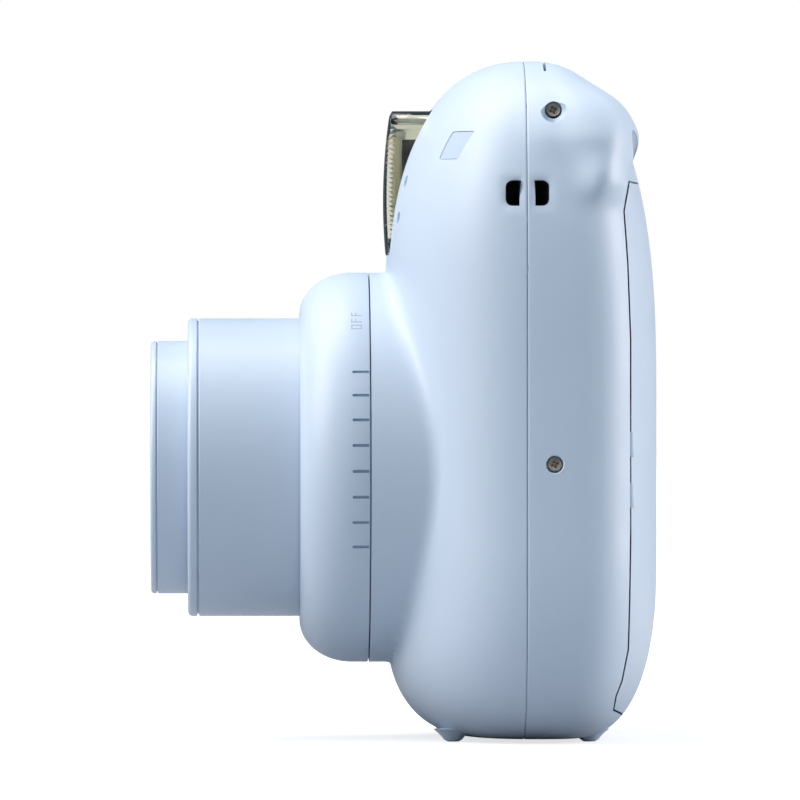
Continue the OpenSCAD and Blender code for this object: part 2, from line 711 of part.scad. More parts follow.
module battery_door() {
    color("lightsteelblue") place() difference() {
        union() {
            difference() {
                intersection() {
                    shell_blank(case_wall);
                    flap_region(door_gap);
                }
                knuckles(flap_x, flap_y, [for (s = cover_knuckles) [s[0] - 0.3, s[1] + 0.3]],
                         knuckle_r + 0.3);
            }
            knuckles(flap_x, flap_y, leaf_knuckles, knuckle_r);
            for (s = leaf_knuckles)
                box([flap_x, flap_y - 2.4, s[0]], [flap_x + knuckle_r, flap_y, s[1]]);
        }
        pin_hole(flap_x, flap_y);
        // the free edge slants so that it clears the cover as it swings
        translate([flap_edge_x, bay_y0 - 0.2 + door_gap, 0]) rotate(24) box([-3, -8, 0], [8, 0, 90]);
    }
}

// ---- Lens ----
module lens_guide_tube() {
    color("dimgray") on_lens_axis() difference() {
        union() {
            tube(guide_out, guide_in, guide_flange, guide_front);
            tube(guide_flange_r, guide_in, guide_flange, guide_back);
        }
        for (a = [90, 210, 330]) rotate(a) {
            translate([guide_in - 2, -cam_pin_r - 0.15, pin_in]) cube([8, 2 * cam_pin_r + 0.3, barrel_travel]);
            for (z = [pin_in, pin_out]) translate([guide_in - 2, 0, z]) rotate([0, 90, 0])
                cylinder(r = cam_pin_r + 0.15, h = 8);
        }
        for (a = [30, 150, 270]) rotate(a) translate([guide_out + 1.9, 0, 0]) cylinder(r = 0.9, h = 40);
    }
}
module cam_slot() {
    extra = cam_pin_r + 0.25;
    turn = dial_turn * (barrel_travel + 2 * extra) / barrel_travel;
    arc = sleeve_out * dial_turn * PI / 180;
    half = (cam_pin_r + 0.15) * sqrt(arc * arc + barrel_travel * barrel_travel) / barrel_travel;
    w = half / sleeve_out * 180 / PI;
    rotate(-dial_turn * (1 + extra / barrel_travel)) translate([0, 0, pin_in - extra])
        linear_extrude(barrel_travel + 2 * extra, twist = -turn, slices = 10)
            polygon([for (p = [[guide_out - 1, -w], [sleeve_out + 0.4, -w], [sleeve_out + 0.4, w], [guide_out - 1, w]])
                [p[0] * cos(p[1]), p[0] * sin(p[1])]]);
}
tick_step = 7.5;
module lens_dial() {
    color("lightsteelblue") on_lens_axis() difference() {
        rotate_extrude($fn = 96) polygon(concat(
            [for (t = [0:6:90]) [dial_r - dial_round_r + dial_round_r * sin(t),
                                 dial_front - dial_round_z + dial_round_z * cos(t)]],
            [[dial_r, dial_back], [dial_r - dial_wall, dial_back]],
            [for (t = [90:-10:40]) [dial_r - dial_round_r + (dial_round_r - dial_wall) * sin(t),
                                    dial_front - dial_round_z + (dial_round_z - dial_wall) * cos(t)]],
            [[sleeve_out, dial_lip - 0.6], [sleeve_out, guide_back + 0.3], [sleeve_in, guide_back + 0.3],
             [sleeve_in, dial_lip], [barrel_r + 0.35, dial_lip], [barrel_r + 0.35, dial_front]]));
        for (a = [90, 210, 330]) rotate(a) cam_slot();
        // index marks cut into the rim
        for (k = [0:7]) rotate(90 - 60.8 - tick_step * k)
            translate([dial_r - 0.3, -0.25, dial_back - 1]) cube([2, 0.5, 4.1]);
    }
}
module outer_barrel() {
    color("lightsteelblue") on_lens_axis() difference() {
        tube(barrel_r, barrel_r - barrel_wall, barrel_back, outer_seam);
        for (a = [90, 210, 330]) rotate(a) translate([barrel_r - 4, 0, pin_out]) rotate([0, 90, 0])
            cylinder(r = cam_pin_r + 0.02, h = 8);
        for (a = [30, 150, 270]) rotate(a)
            translate([barrel_r - barrel_wall - 1, -key_w / 2 - 0.15, barrel_back - 1])
                cube([1.7, key_w + 0.3, outer_seam - barrel_back + 2]);
    }
}
module cam_pins() {
    color("silver") on_lens_axis() for (a = [90, 210, 330]) rotate(a)
        translate([barrel_r - barrel_wall + 0.2, 0, pin_out]) rotate([0, 90, 0])
            cylinder(r = cam_pin_r, h = sleeve_out - barrel_r + barrel_wall - 0.5);
}
module outer_bezel() {
    color("lightsteelblue") on_lens_axis() rotate_extrude($fn = 96) polygon([
        [inner_r + 0.25, barrel_front], [barrel_r - 0.9, barrel_front], [barrel_r, barrel_front - 0.9],
        [barrel_r, outer_seam + 0.3], [barrel_r - 0.35, outer_seam + 0.3], [barrel_r - 0.35, outer_seam],
        [barrel_r - barrel_wall - 0.1, outer_seam], [barrel_r - barrel_wall - 0.1, outer_seam - 1.8],
        [inner_r + 1, outer_seam - 1.8], [inner_r + 1, outer_seam], [inner_r + 0.25, outer_seam + 0.4]]);
}
module inner_barrel() {
    bore = barrel_r - barrel_wall;
    color("lightsteelblue") on_lens_axis() {
        tube(inner_r, inner_r - inner_wall, inner_back, inner_seam);
        tube(bore - lens_gap, inner_r - inner_wall, inner_back, inner_back + 3);
        for (a = [30, 150, 270]) rotate(a) translate([bore - 1, -key_w / 2, inner_back])
            cube([1.45, key_w, 3]);
    }
}
module inner_bezel() {
    color("lightsteelblue") on_lens_axis() rotate_extrude($fn = 96) polygon([
        [inner_r - 3.6, inner_front - 1.6], [inner_r - 3.1, inner_front - 0.2], [inner_r - 2.8, inner_front],
        [inner_r - 0.7, inner_front], [inner_r, inner_front - 0.7],
        [inner_r, inner_seam + 0.25], [inner_r - 0.3, inner_seam + 0.25], [inner_r - 0.3, inner_seam],
        [inner_r - inner_wall - 0.05, inner_seam], [inner_r - inner_wall - 0.05, inner_seam - 0.35]]);
}
mirror_r = 4;
mirror_at = 13.6;
module lens_front_plate() {
    top = inner_seam - 0.7;
    color("dimgray") on_lens_axis() difference() {
        rotate_extrude($fn = 96) polygon([
            [8, top - 2.4], [8, top - 1.5], [8.8, top - 0.9], [inner_r - 5, top], [inner_r - inner_wall - 0.1, top],
            [inner_r - inner_wall - 0.1, top - 1.4], [11, top - 2.4]]);
        rotate(40) translate([mirror_at, 0, top - 1]) cylinder(r = mirror_r + 0.1, h = 4);
    }
}
module selfie_mirror() {
    color("lightgray") on_lens_axis() rotate(40) translate([mirror_at, 0, inner_seam - 1.7])
        rotate_extrude() polygon(concat([[0, 0], [mirror_r, 0]],
            [for (k = [5:-1:0]) [mirror_r * k / 5, 1 - 0.4 * k * k / 25]]));
}
module front_lens() {
    z = inner_seam - 3.1;
    color("lightcyan") on_lens_axis() intersection() {
        translate([0, 0, z - 2.2]) cylinder(r = 7.8, h = 5);
        translate([0, 0, z - 18]) sphere(r = 20, $fn = 96);
    }
}
module shutter_housing() {
    back = inner_back + 3.3;
    color("black") on_lens_axis() difference() {
        union() {
            tube(inner_r - inner_wall - 0.1, 5, back + 2, back + 7);
            tube(9.4, 7, back - 1, back + 3);
        }
        // the blade's chamber
        translate([0, 0, back + 4.2]) cylinder(r = 16, h = 1.4);
        difference() {
            translate([0, 0, back + 6]) cylinder(r = 7.9, h = 2);
            cylinder(r = 4, h = 1);
        }
    }
    color("black") on_lens_axis() translate([0, -11.5, back + 3.9]) cylinder(r = 1, h = 2);
}
module shutter_blade() {
    back = inner_back + 3.3;
    color("darkgray") on_lens_axis() translate([0, 0, back + 4.6]) linear_extrude(0.4) difference() {
        union() {
            circle(r = 5.8);
            translate([-2.2, -11.5]) square([4.4, 9]);
            translate([0, -11.5]) circle(r = 2.4);
        }
        translate([0, -11.5]) circle(r = 1.05);
    }
}
module rear_lens() {
    back = inner_back + 3.3;
    color("lightcyan") on_lens_axis() intersection() {
        translate([0, 0, back - 0.6]) cylinder(r = 6.9, h = 2.4);
        translate([0, 0, back + 19.2]) sphere(r = 20, $fn = 96);
    }
}

// ---- Inside of the case ----
board_x = chamber_x1 + 1.4;
board_t = 1.2;
board_part_t = 1.4;
board_low = pack_z + 14;
board_high = pack_z + 78;
board_back = film_y - 2.2;
// the board's front edge stays clear of the front cover
board_front = max(-11, front_y(board_x + board_t + board_part_t, board_high, case_wall) + 0.6);
board_mid = (board_front + board_back) / 2;
box_half_w = picture_w / 2 + 6.5;
box_half_h = guide_flange_r + 1.4;
module dark_chamber() {
    wall = 1.5;
    color("black") place() difference() {
        box([lens_x - box_half_w, -guide_flange, lens_z - box_half_h],
            [lens_x + box_half_w, plate_y, lens_z + box_half_h]);
        box([lens_x - box_half_w + wall, -guide_flange + wall, lens_z - box_half_h + wall],
            [lens_x + box_half_w - wall, plate_y + 1, lens_z + box_half_h - wall]);
        translate([lens_x, 0, lens_z]) rotate([90, 0, 0]) cylinder(r = guide_in + 0.4, h = 40);
    }
}
module chassis() {
    color("black") place() difference() {
        union() {
            intersection() {
                difference() {
                    box([chamber_x0, plate_y, chamber_z0], [chamber_x1, chamber_back, chamber_z1]);
                    box([chamber_x0 + chamber_wall, film_y, pack_z - side_gap],
                        [chamber_x1 - chamber_wall, 40, chamber_z1 + 1]);
                }
                case_solid(case_wall + 0.6, 32, 20);
            }
            // plate and axles that carry the gears
            box([chamber_x0, roller_front_y - 7, reduction_z - 9], [chamber_x0 + chamber_wall, plate_y + 1, chamber_z1]);
            on_axle(roller_front_y, reduction_z, layer_2 - 0.2) cylinder(r = axle_r, h = chamber_x0 - layer_2 + 0.3);
            on_axle(roller_front_y, idler_z, layer_1) cylinder(r = axle_r, h = chamber_x0 - layer_1 + 0.1);
            // shelves for the circuit board
            for (z = [board_low + 4, board_high - 10])
                box([chamber_x1 - chamber_wall, -3, z], [board_x, plate_y + 1, z + 4]);
        }
        box([lens_x - picture_w / 2, -5, lens_z - picture_h / 2],
            [lens_x + picture_w / 2, film_y + 1, lens_z + picture_h / 2]);
    }
}
module roller_frame() {
    x0 = roll_x0 - cheek_gap;
    x1 = roll_x1 + cheek_gap;
    y0 = roller_front_y - roller_r - 0.9;
    y1 = roller_rear_y + roller_r + 0.9;
    color("silver") place() difference() {
        union() {
            for (x = [x0 - cheek_t, x1]) box([x, y0 - 1, chamber_z1], [x + cheek_t, y1 + 1, frame_top]);
            box([x0 - eps, y0 - 1, chamber_z1 + 0.4], [x1 + eps, y0, frame_top]);
            box([x0 - eps, y1, chamber_z1 + 0.4], [x1 + eps, y1 + 1, frame_top]);
        }
        for (y = [roller_front_y, roller_rear_y]) on_axle(y, roller_z, x0 - 4)
            cylinder(r = shaft_r + bearing_gap, h = x1 - x0 + 8);
    }
}
module roller(y, phase, gear_low) {
    color("dimgray") place() {
        on_axle(y, roller_z, roll_x0) cylinder(r = roller_r, h = roll_x1 - roll_x0);
        on_axle(y, roller_z, gear_low) cylinder(r = shaft_r, h = roll_x1 + cheek_gap + cheek_t - gear_low);
        on_axle(y, roller_z, gear_low) linear_extrude(gear_w) gear_shape(roller_teeth, phase);
    }
}
module roller_front() { roller(roller_front_y, front_phase, layer_1); }
module roller_rear() { roller(roller_rear_y, rear_phase, layer_1); }
module idler_gear() {
    color("ivory") place() on_axle(roller_front_y, idler_z, layer_1) linear_extrude(gear_w) difference() {
        gear_shape(idler_teeth, idler_phase);
        circle(r = axle_r + bearing_gap);
    }
}
module reduction_gear() {
    color("ivory") place() difference() {
        union() {
            on_axle(roller_front_y, reduction_z, layer_1) linear_extrude(gear_w)
                gear_shape(reduction_small, small_phase);
            on_axle(roller_front_y, reduction_z, layer_2) linear_extrude(gear_w)
                gear_shape(reduction_big, small_phase);
            on_axle(roller_front_y, reduction_z, layer_2 + 1) cylinder(r = 1.7, h = gear_w);
        }
        on_axle(roller_front_y, reduction_z, layer_2 - 2) cylinder(r = axle_r + bearing_gap, h = 12);
    }
}
module motor_pinion() {
    color("gold") place() {
        on_axle(motor_y, motor_z, layer_2) linear_extrude(gear_w) gear_shape(pinion_teeth, pinion_phase);
        on_axle(motor_y, motor_z, motor_x1 - 6) cylinder(r = 0.75, h = layer_2 - motor_x1 + 6.2);
    }
}
module drive_motor() {
    color("silver") place() difference() {
        union() {
            on_axle(motor_y, motor_z, motor_x0) cylinder(r = motor_r, h = motor_x1 - motor_x0 - 0.8);
            on_axle(motor_y, motor_z, motor_x1 - 1) cylinder(r = 2, h = 0.9);
        }
        on_axle(motor_y, motor_z, motor_x1 - 7) cylinder(r = 0.8, h = 8);
    }
}
module battery_holder() {
    color("dimgray") place() difference() {
        union() {
            box([bay_x0, bay_y0 - bay_wall, bay_z0 - bay_wall], [bay_x1, bay_y1 + bay_wall, bay_z1 + bay_wall]);
            // cradle under the motor
            box([bay_x0, motor_y - 6.8, bay_z1], [motor_x1 - 1, motor_y + 4, motor_z - 2.5]);
            // post of the counter disc
            translate([counter_x, bay_y1, counter_z]) rotate([-90, 0, 0]) cylinder(r = 1.2, h = bay_wall + 2);
            translate([counter_x, bay_y1, counter_z]) rotate([-90, 0, 0]) cylinder(r = 2, h = bay_wall + 0.2);
            // arm that carries the shutter switch
            on_button() box([-3, bay_z1 - button_z, -10.4], [3, 3, -9.2]);
        }
        box([bay_x0 - 1, bay_y0, bay_z0], [bay_x1 - bay_wall, bay_y1, bay_z1]);
        on_axle(motor_y, motor_z, bay_x0 - 1) cylinder(r = motor_r + 0.05, h = 20);
        // the front cover closes this corner
        box([bay_x0 - 1, bay_y0 - bay_wall - 1, bay_z0 - bay_wall - 1], [bay_x0 + 4.3, bay_y0 + 2, bay_z1 + bay_wall + 1]);
    }
    color("dimgray") place() box([bay_x1 - bay_wall - 1, bay_mid - 0.5, bay_z0 - 0.1],
                                 [bay_x1 - bay_wall + 0.1, bay_mid + 0.5, bay_z1 + 0.1]);
}
function cell_y(s) = bay_mid + s * (cell_d + cell_gap) / 2;
cell_x = bay_x1 - bay_wall - cell_d / 2;
module battery_springs() {
    color("silver") place() {
        translate([cell_x, cell_y(-1), bay_z0 + 0.45]) coil_spring(3.6, 0.35, 3.4, 3);
        translate([cell_x, cell_y(1), bay_z1 - 0.45]) mirror([0, 0, 1]) coil_spring(3.6, 0.35, 3.4, 3);
    }
}
module battery_contacts() {
    color("silver") place() {
        box([cell_x - 4.5, bay_y0 + 2, bay_z0], [cell_x + 4.5, bay_y1 - 2, bay_z0 + 0.4]);
        for (s = [-1, 1]) box([cell_x - 4.5, cell_y(s) - 4.5, bay_z1 - 0.4], [cell_x + 4.5, cell_y(s) + 4.5, bay_z1]);
    }
}

// ---- Flash ----
module flash_window() {
    color("lightgray", 0.6) place() difference() {
        intersection() {
            flash_block(0);
            box([flash_x - flash_w, -flash_front - 9, flash_z - 5], [flash_x + flash_w, -flash_back, crown_z]);
        }
        flash_block(flash_wall);
    }
}
trough_z = flash_z + 12.5;
trough_w = flash_w - 5;
tube_y = -flash_back - 3.5;
flash_tube_r = 1.4;
module flash_reflector() {
    color("silver") place() difference() {
        union() {
            box([flash_x - flash_w / 2 - 2.5, 0.3 - flash_back, flash_z + 2],
                [flash_x + flash_w / 2 + 2.5, 1.5 - flash_back, flash_z + 22]);
            translate([flash_x - trough_w / 2, -flash_back - 1, trough_z]) rotate([90, 0, 90]) linear_extrude(trough_w)
                intersection() { scale([1.1, 1]) circle(r = 8, $fn = 64); translate([-7, -9]) square([8.5, 18]); }
        }
        translate([flash_x - trough_w / 2 + 0.8, -flash_back - 1, trough_z]) rotate([90, 0, 90])
            linear_extrude(trough_w - 1.6)
            intersection() { scale([1.1, 1]) circle(r = 7.2, $fn = 64); translate([-12, -9]) square([12.2, 18]); }
        translate([flash_x - flash_w / 2 - 2, tube_y, trough_z]) rotate([0, 90, 0])
            cylinder(r = flash_tube_r + 0.05, h = flash_w + 4);
    }
}
module flash_tube() {
    color("lightcyan") place() translate([flash_x - trough_w / 2 - 1, tube_y, trough_z]) rotate([0, 90, 0])
        cylinder(r = flash_tube_r, h = trough_w + 2);
}
capacitor_r = 4.5;
module flash_capacitor() {
    color("darkslateblue") place()
        translate([lens_x - 19, -6, lens_z - box_half_h - 0.3 - capacitor_r]) rotate([0, 90, 0])
            cylinder(r = capacitor_r, h = 30);
}
module light_sensor() {
    color("black") place() for (z = sensor_heights) translate([sensor_x, front_y(sensor_x, z) + 0.4, z])
        rotate([-90, 0, 0]) cylinder(r = sensor_r, h = 3);
}

// ---- Viewfinder ----
// A square bar along the viewfinder's axis
module finder_box(half, low, high) {
    box([finder_x - half, low, finder_z - half], [finder_x + half, high, finder_z + half]);
}
module finder_window() {
    color("lightgray", 0.6) place() intersection() {
        difference() { case_solid(0.2, 32, 20); case_solid(case_wall, 32, 20); }
        finder_box(finder_w / 2 - 0.15, -front_depth - 6, -2);
    }
}
module finder_tunnel() {
    color("black") place() intersection() {
        difference() {
            finder_box(finder_w / 2 + finder_wall, -front_depth / 2, eyepiece_y - 0.2);
            finder_box(finder_w / 2, -front_depth - 6, back_depth + 6);
        }
        case_solid(case_wall + 0.15, 32, 20);
    }
}
module finder_eyepiece() {
    color("black") place() translate([finder_x, eyepiece_y, finder_z]) rotate([-90, 0, 0]) {
        tube(eyepiece_r, eyepiece_r - 1, 0, 2.4);
        translate([0, 0, 0.4]) cylinder(r = eyepiece_r - 1, h = 1);
    }
}

// ---- Shutter button ----
module shutter_button() {
    color("lightsteelblue") place() on_button() {
        intersection() {
            translate([0, 0, -3.4]) cylinder(r = button_r, h = 6);
            translate([0, 0, 1.6 - 24]) sphere(r = 24, $fn = 64);
        }
        translate([0, 0, -4]) cylinder(r = button_r + 0.9, h = 0.8);
        translate([0, 0, -5.6]) cylinder(r = 1.2, h = 3);
    }
}
module shutter_spring() {
    color("silver") place() on_button() translate([0, 0, -7.45]) coil_spring(2, 0.2, 3.4, 4);
}
module shutter_switch() {
    color("black") place() on_button() {
        box([-3, -3, -9.2], [3, 3, -7.5]);
        translate([0, 0, -7.6]) cylinder(r = 1.1, h = 0.7);
    }
}

// ---- Electronics and film exit ----
// A part soldered on the board: middle height, depth, height, thickness
module on_board(z, across, up, thick) {
    translate([board_x + board_t - 0.1, board_mid - across / 2, z - up / 2]) cube([thick + 0.1, across, up]);
}
module main_circuit_board() {
    middle = (board_low + board_high) / 2;
    color("darkgreen") place() {
        box([board_x, board_front, board_low], [board_x + board_t, board_back, board_high]);
        on_board(middle - 1, 6, 10, 1);
        on_board(middle + 17, 4, 6, 0.8);
        on_board(middle - 24, 8, 4, board_part_t);
        // small parts in two rows
        for (y = [-2, 2]) for (z = [-16:3:-10]) translate([0, y, 0]) on_board(middle + z, 1.6, 0.8, 0.6);
        for (y = [-1.5, 1.5]) for (z = [8:2.5:13]) translate([0, y, 0]) on_board(middle + z, 2, 1.2, 0.7);
    }
}
module film_exit_guide() {
    color("black") place() difference() {
        union() {
            box([roll_x0, film_mid - 2.2, frame_top], [roll_x1, film_mid + 2.2, frame_top + 4]);
            // lips that fill the opening in the crown and keep light out
            intersection() {
                translate([lens_x, film_mid, frame_top + 1]) linear_extrude(30)
                    slot_shape(exit_w - 2 * exit_fit, exit_h - 2 * exit_fit);
                case_solid(exit_fit, 32, 20);
            }
        }
        translate([lens_x, film_mid, frame_top - 1]) {
            linear_extrude(3.2) square([sheet_w + 0.8, 2], center = true);
            linear_extrude(40) square([sheet_w + 0.8, exit_slit], center = true);
        }
    }
}

front_cover();
rear_cover();
back_door();
battery_door();
door_hinge_pins();
case_screws();
lens_guide_tube();
lens_dial();
outer_barrel();
outer_bezel();
cam_pins();
inner_barrel();
inner_bezel();
lens_front_plate();
front_lens();
rear_lens();
shutter_housing();
shutter_blade();
selfie_mirror();
dark_chamber();
chassis();
roller_frame();
roller_front();
roller_rear();
idler_gear();
reduction_gear();
motor_pinion();
drive_motor();
battery_holder();
battery_springs();
battery_contacts();
flash_window();
flash_reflector();
flash_tube();
flash_capacitor();
light_sensor();
finder_window();
finder_tunnel();
finder_eyepiece();
shutter_button();
shutter_spring();
shutter_switch();
main_circuit_board();
film_exit_guide();
door_latch();
latch_spring();
pack_springs();
film_check_window();
counter_window();
counter_disc();
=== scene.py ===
"""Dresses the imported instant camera: smooth moulded covers, turned lens barrels, clear flash
window, screws and marks, a procedural finish on every piece, and a plain pale studio.

Lengths in the settings are metres. The drawing functions work in the maker's own frame in
millimetres: x to the viewfinder side, y backwards from the joint of the two covers, z up.
"""

import json
import math

import bmesh
import bpy
from bpy.props import FloatProperty, FloatVectorProperty, IntProperty, PointerProperty
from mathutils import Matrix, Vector
from mathutils.bvhtree import BVHTree


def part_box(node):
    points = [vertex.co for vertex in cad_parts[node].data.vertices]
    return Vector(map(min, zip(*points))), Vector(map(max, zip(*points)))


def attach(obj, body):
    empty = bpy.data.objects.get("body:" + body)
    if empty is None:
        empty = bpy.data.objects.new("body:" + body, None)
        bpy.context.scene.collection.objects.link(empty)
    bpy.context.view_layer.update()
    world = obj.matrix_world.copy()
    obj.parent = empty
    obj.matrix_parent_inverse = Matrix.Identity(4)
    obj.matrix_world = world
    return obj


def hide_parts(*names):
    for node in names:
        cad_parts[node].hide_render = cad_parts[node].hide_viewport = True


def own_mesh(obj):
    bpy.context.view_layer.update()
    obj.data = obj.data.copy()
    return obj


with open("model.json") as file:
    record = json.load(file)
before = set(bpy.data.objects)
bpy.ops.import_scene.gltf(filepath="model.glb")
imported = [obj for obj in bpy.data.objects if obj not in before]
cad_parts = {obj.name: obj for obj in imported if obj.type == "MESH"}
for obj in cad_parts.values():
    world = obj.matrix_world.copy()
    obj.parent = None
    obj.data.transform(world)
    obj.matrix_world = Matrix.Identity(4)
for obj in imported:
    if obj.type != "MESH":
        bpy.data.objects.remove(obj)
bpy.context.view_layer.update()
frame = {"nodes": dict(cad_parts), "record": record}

bl_info = {
    "name": "Instant camera dressing",
    "version": (1, 0, 0),
    "blender": (4, 5, 0),
    "location": "3D View > Sidebar > Camera part",
    "description": "Models the covers, lens, flash and small parts of an instant camera",
    "category": "Object",
}

MM = 0.001
JOINTS = {joint["name"]: joint for joint in frame["record"]["behaviour"]["joints"]}
JOINT_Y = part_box("rear_cover")[0].y / MM - 0.1
LENS_X = JOINTS["lens_dial_turn"]["pos_m"][0] / MM
LENS_Z = JOINTS["lens_dial_turn"]["pos_m"][2] / MM
HINGE = JOINTS["back_door_swing"]["pos_m"]
FLAP_HINGE = JOINTS["battery_door_swing"]["pos_m"]

# ---- Places, in millimetres of the maker's frame ----
FLASH_X, FLASH_Z = -4, 100.85
FLASH_SIZE = (36.6, 26.3, 3.3)             # width, height and corner radius of the opening
FINDER_X, FINDER_Z = 39.4, 106.8
SENSOR_X, SENSORS = 21.5, (94, 100.5)
MIRROR_X, MIRROR_Z = 17.42, 57.94
BUTTON_X, BUTTON_Z, BUTTON_TURN = -36, 83, 25
LUG_Z, LUG_HALF = 98.1, 4.55 / 2           # middle and half height of the strap bars
FOOT_X, FRONT_FOOT_Y, REAR_FOOT_Y = 24, -12.6, 11.9
EXIT_Y = 3.6                               # depth of the film exit
DOOR_Y, DOOR_TOP, DOOR_FOOT = 17.9, 100.4, 3.6
FILM_WINDOW = (11, 52, 9, 30, 2)           # x, z, width, height and corner radius
COUNTER_WINDOW = (-29.8, 30, 4.6, 3.6, 0.8)
BAY_Y, BAY_Z = (-15.0, 14.4), (17.2, 72.0)
SCREWS = ((1, 113.0), (1, 50.0), (-1, 113.0), (-1, 10.5))    # side and height
SCREW_Y, SCREW_SEAT = 4.8, -1.7            # depth of the axes, and of the heads under the skin
KNUCKLES = ((42.3, 46.7), (51.3, 55.7))    # spans of the doors' hinge knuckles


# ---- Settings ----
def length(name, text, millimetres):
    """A length setting, given in millimetres and kept in metres."""
    return FloatProperty(name=name, description=text, default=millimetres * MM, min=0.0,
                         precision=5, subtype="DISTANCE", unit="LENGTH")


def colour(name, text, rgb):
    """A colour setting in linear values."""
    return FloatVectorProperty(name=name, description=text, default=rgb, size=3,
                               min=0.0, max=1.0, subtype="COLOR")


class CoverSettings(bpy.types.PropertyGroup):
    """Sizes of the two moulded covers and the doors."""
    width: length("Width", "Width across the grip and the viewfinder side", 104)
    height: length("Height", "Height of the crown above the floor", 122.4)
    front: length("Front depth", "Depth from the joint to the front", 24.2)
    back: length("Back depth", "Depth from the joint to the back of the door", 24.4)
    wall: length("Wall", "Wall of the covers", 2)
    door_wall: length("Door wall", "Wall of the film door", 1.7)
    door_gap: length("Door gap", "Gap round the doors", 0.28)
    joint_gap: length("Joint gap", "Gap between the two covers", 0.2)
    hump: length("Viewfinder swell", "How far the viewfinder corner swells out", 4.4)
    grid: length("Grid", "Spacing of the modelled surface", 0.85)


class LensSettings(bpy.types.PropertyGroup):
    """Sizes of the dial and the two barrels, measured forward from the joint of the covers."""
    dial_radius: length("Dial radius", "Outer radius of the dial and its collar", 35.3)
    dial_front: length("Dial front", "Front face of the dial", 40.1)
    dial_back: length("Dial back", "Back edge of the dial", 27.8)
    barrel_radius: length("Barrel radius", "Outer radius of the outer barrel", 27)
    barrel_front: length("Barrel front", "Front of the outer barrel when it is out", 60.3)
    inner_radius: length("Inner radius", "Outer radius of the inner barrel", 22.9)
    inner_front: length("Inner front", "Front of the inner barrel when it is out", 67)
    steps: IntProperty(name="Steps", description="Faces round a turned piece", default=160, min=32)


class FinishSettings(bpy.types.PropertyGroup):
    """Colours of the finishes."""
    shell: colour("Shell", "Pastel blue of the moulded covers", (0.52, 0.63, 0.775))
    # painted shade: a dark colour laid in the index grooves of the dial
    groove_shade: colour("Groove shade", "Painted shade filling the index grooves of the dial", (0.25, 0.34, 0.47))
    black: colour("Black", "Black of the inner plastic", (0.012, 0.012, 0.014))
    smoke: colour("Smoke", "Tint of the flash window", (0.74, 0.75, 0.66))


def covers():
    return bpy.context.scene.cover_sizes


def lens():
    return bpy.context.scene.lens_sizes


def finish():
    return bpy.context.scene.finish_colours


# ---- Small modelling steps ----
def place(x, y, z):
    """A point of the maker's frame, in metres in the row frame."""
    return Vector((x, y + JOINT_Y, z)) * MM


def on_lens(radius, forward, turn=0.0):
    """A point round the lens axis: turn is in degrees from the top towards the viewfinder side."""
    angle = math.radians(turn)
    return place(LENS_X + radius * math.sin(angle), -forward, LENS_Z + radius * math.cos(angle))


def deselect():
    for item in bpy.context.selected_objects:
        item.select_set(False)


def hold(piece):
    """Makes piece the only selected object, and the active one."""
    deselect()
    piece.select_set(True)
    bpy.context.view_layer.objects.active = piece


def edit(piece, action="SELECT"):
    """Opens piece in edit mode, with everything selected or, with DESELECT, nothing."""
    hold(piece)
    bpy.ops.object.mode_set(mode="EDIT")
    bpy.ops.mesh.select_all(action=action)


def begin(name):
    """Names the primitive that was just added, and settles its place into its mesh."""
    piece = bpy.context.object
    piece.name = name
    piece.data.name = name
    bpy.ops.object.transform_apply(location=True, rotation=True, scale=True)
    return piece


def modifier(piece, kind, **values):
    """Adds a modifier and applies it."""
    hold(piece)
    step = piece.modifiers.new(kind.lower(), kind)
    for key, value in values.items():
        setattr(step, key, value)
    bpy.ops.object.modifier_apply(modifier=step.name)
    return piece


def drawn_line(name, points):
    """A chain of edges drawn point by point from one vertex."""
    deselect()
    bpy.ops.mesh.primitive_plane_add(size=MM, location=points[0])
    piece = begin(name)
    edit(piece)
    bpy.ops.mesh.merge(type="CENTER")
    here = points[0]
    for point in points[1:]:
        bpy.ops.mesh.extrude_vertices_move(TRANSFORM_OT_translate={"value": point - here})
        here = point
    return piece


def turned(name, profile, centre=None, axis=(0, 1, 0), steps=None):
    """Spins an outline of points round an axis, which makes a ring or a solid."""
    piece = drawn_line(name, list(profile) + [profile[0]])
    merge_doubles()
    bpy.ops.mesh.spin(steps=steps or lens().steps, angle=math.tau,
                      center=centre or on_lens(0, 0), axis=axis)
    tidy_mesh()
    return piece


def turned_at(name, x, z, profile, steps):
    """A form turned about an axis through (x, z), from points of (radius, depth)."""
    points = [place(x + r, y, z) for r, y in profile]
    return turned(name, points, centre=place(x, 0, z), steps=steps)


def merge_doubles():
    """Merges points that lie on each other, and leaves everything selected."""
    bpy.ops.mesh.select_all(action="SELECT")
    bpy.ops.mesh.remove_doubles(threshold=1e-7)
    bpy.ops.mesh.select_all(action="SELECT")


def tidy_mesh():
    """Merges doubles, turns faces outwards and leaves edit mode."""
    merge_doubles()
    bpy.ops.mesh.normals_make_consistent(inside=False)
    bpy.ops.object.mode_set(mode="OBJECT")


def prism(name, outline, depth):
    """A solid drawn as a closed outline and pulled along depth."""
    piece = drawn_line(name, list(outline) + [outline[0]])
    merge_doubles()
    bpy.ops.mesh.edge_face_add()
    bpy.ops.mesh.extrude_region_move(TRANSFORM_OT_translate={"value": depth})
    tidy_mesh()
    return piece


def rod(name, start, end, radius, steps=48, bevel=0.0):
    """A round bar between two points, with its end edges broken when bevel is given."""
    along = end - start
    deselect()
    bpy.ops.mesh.primitive_cylinder_add(vertices=steps, radius=radius * MM, depth=along.length,
                                        location=(start + end) / 2,
                                        rotation=along.to_track_quat("Z", "Y").to_euler())
    piece = begin(name)
    if bevel:
        modifier(piece, "BEVEL", width=bevel * MM, segments=2, limit_method="ANGLE")
    return piece


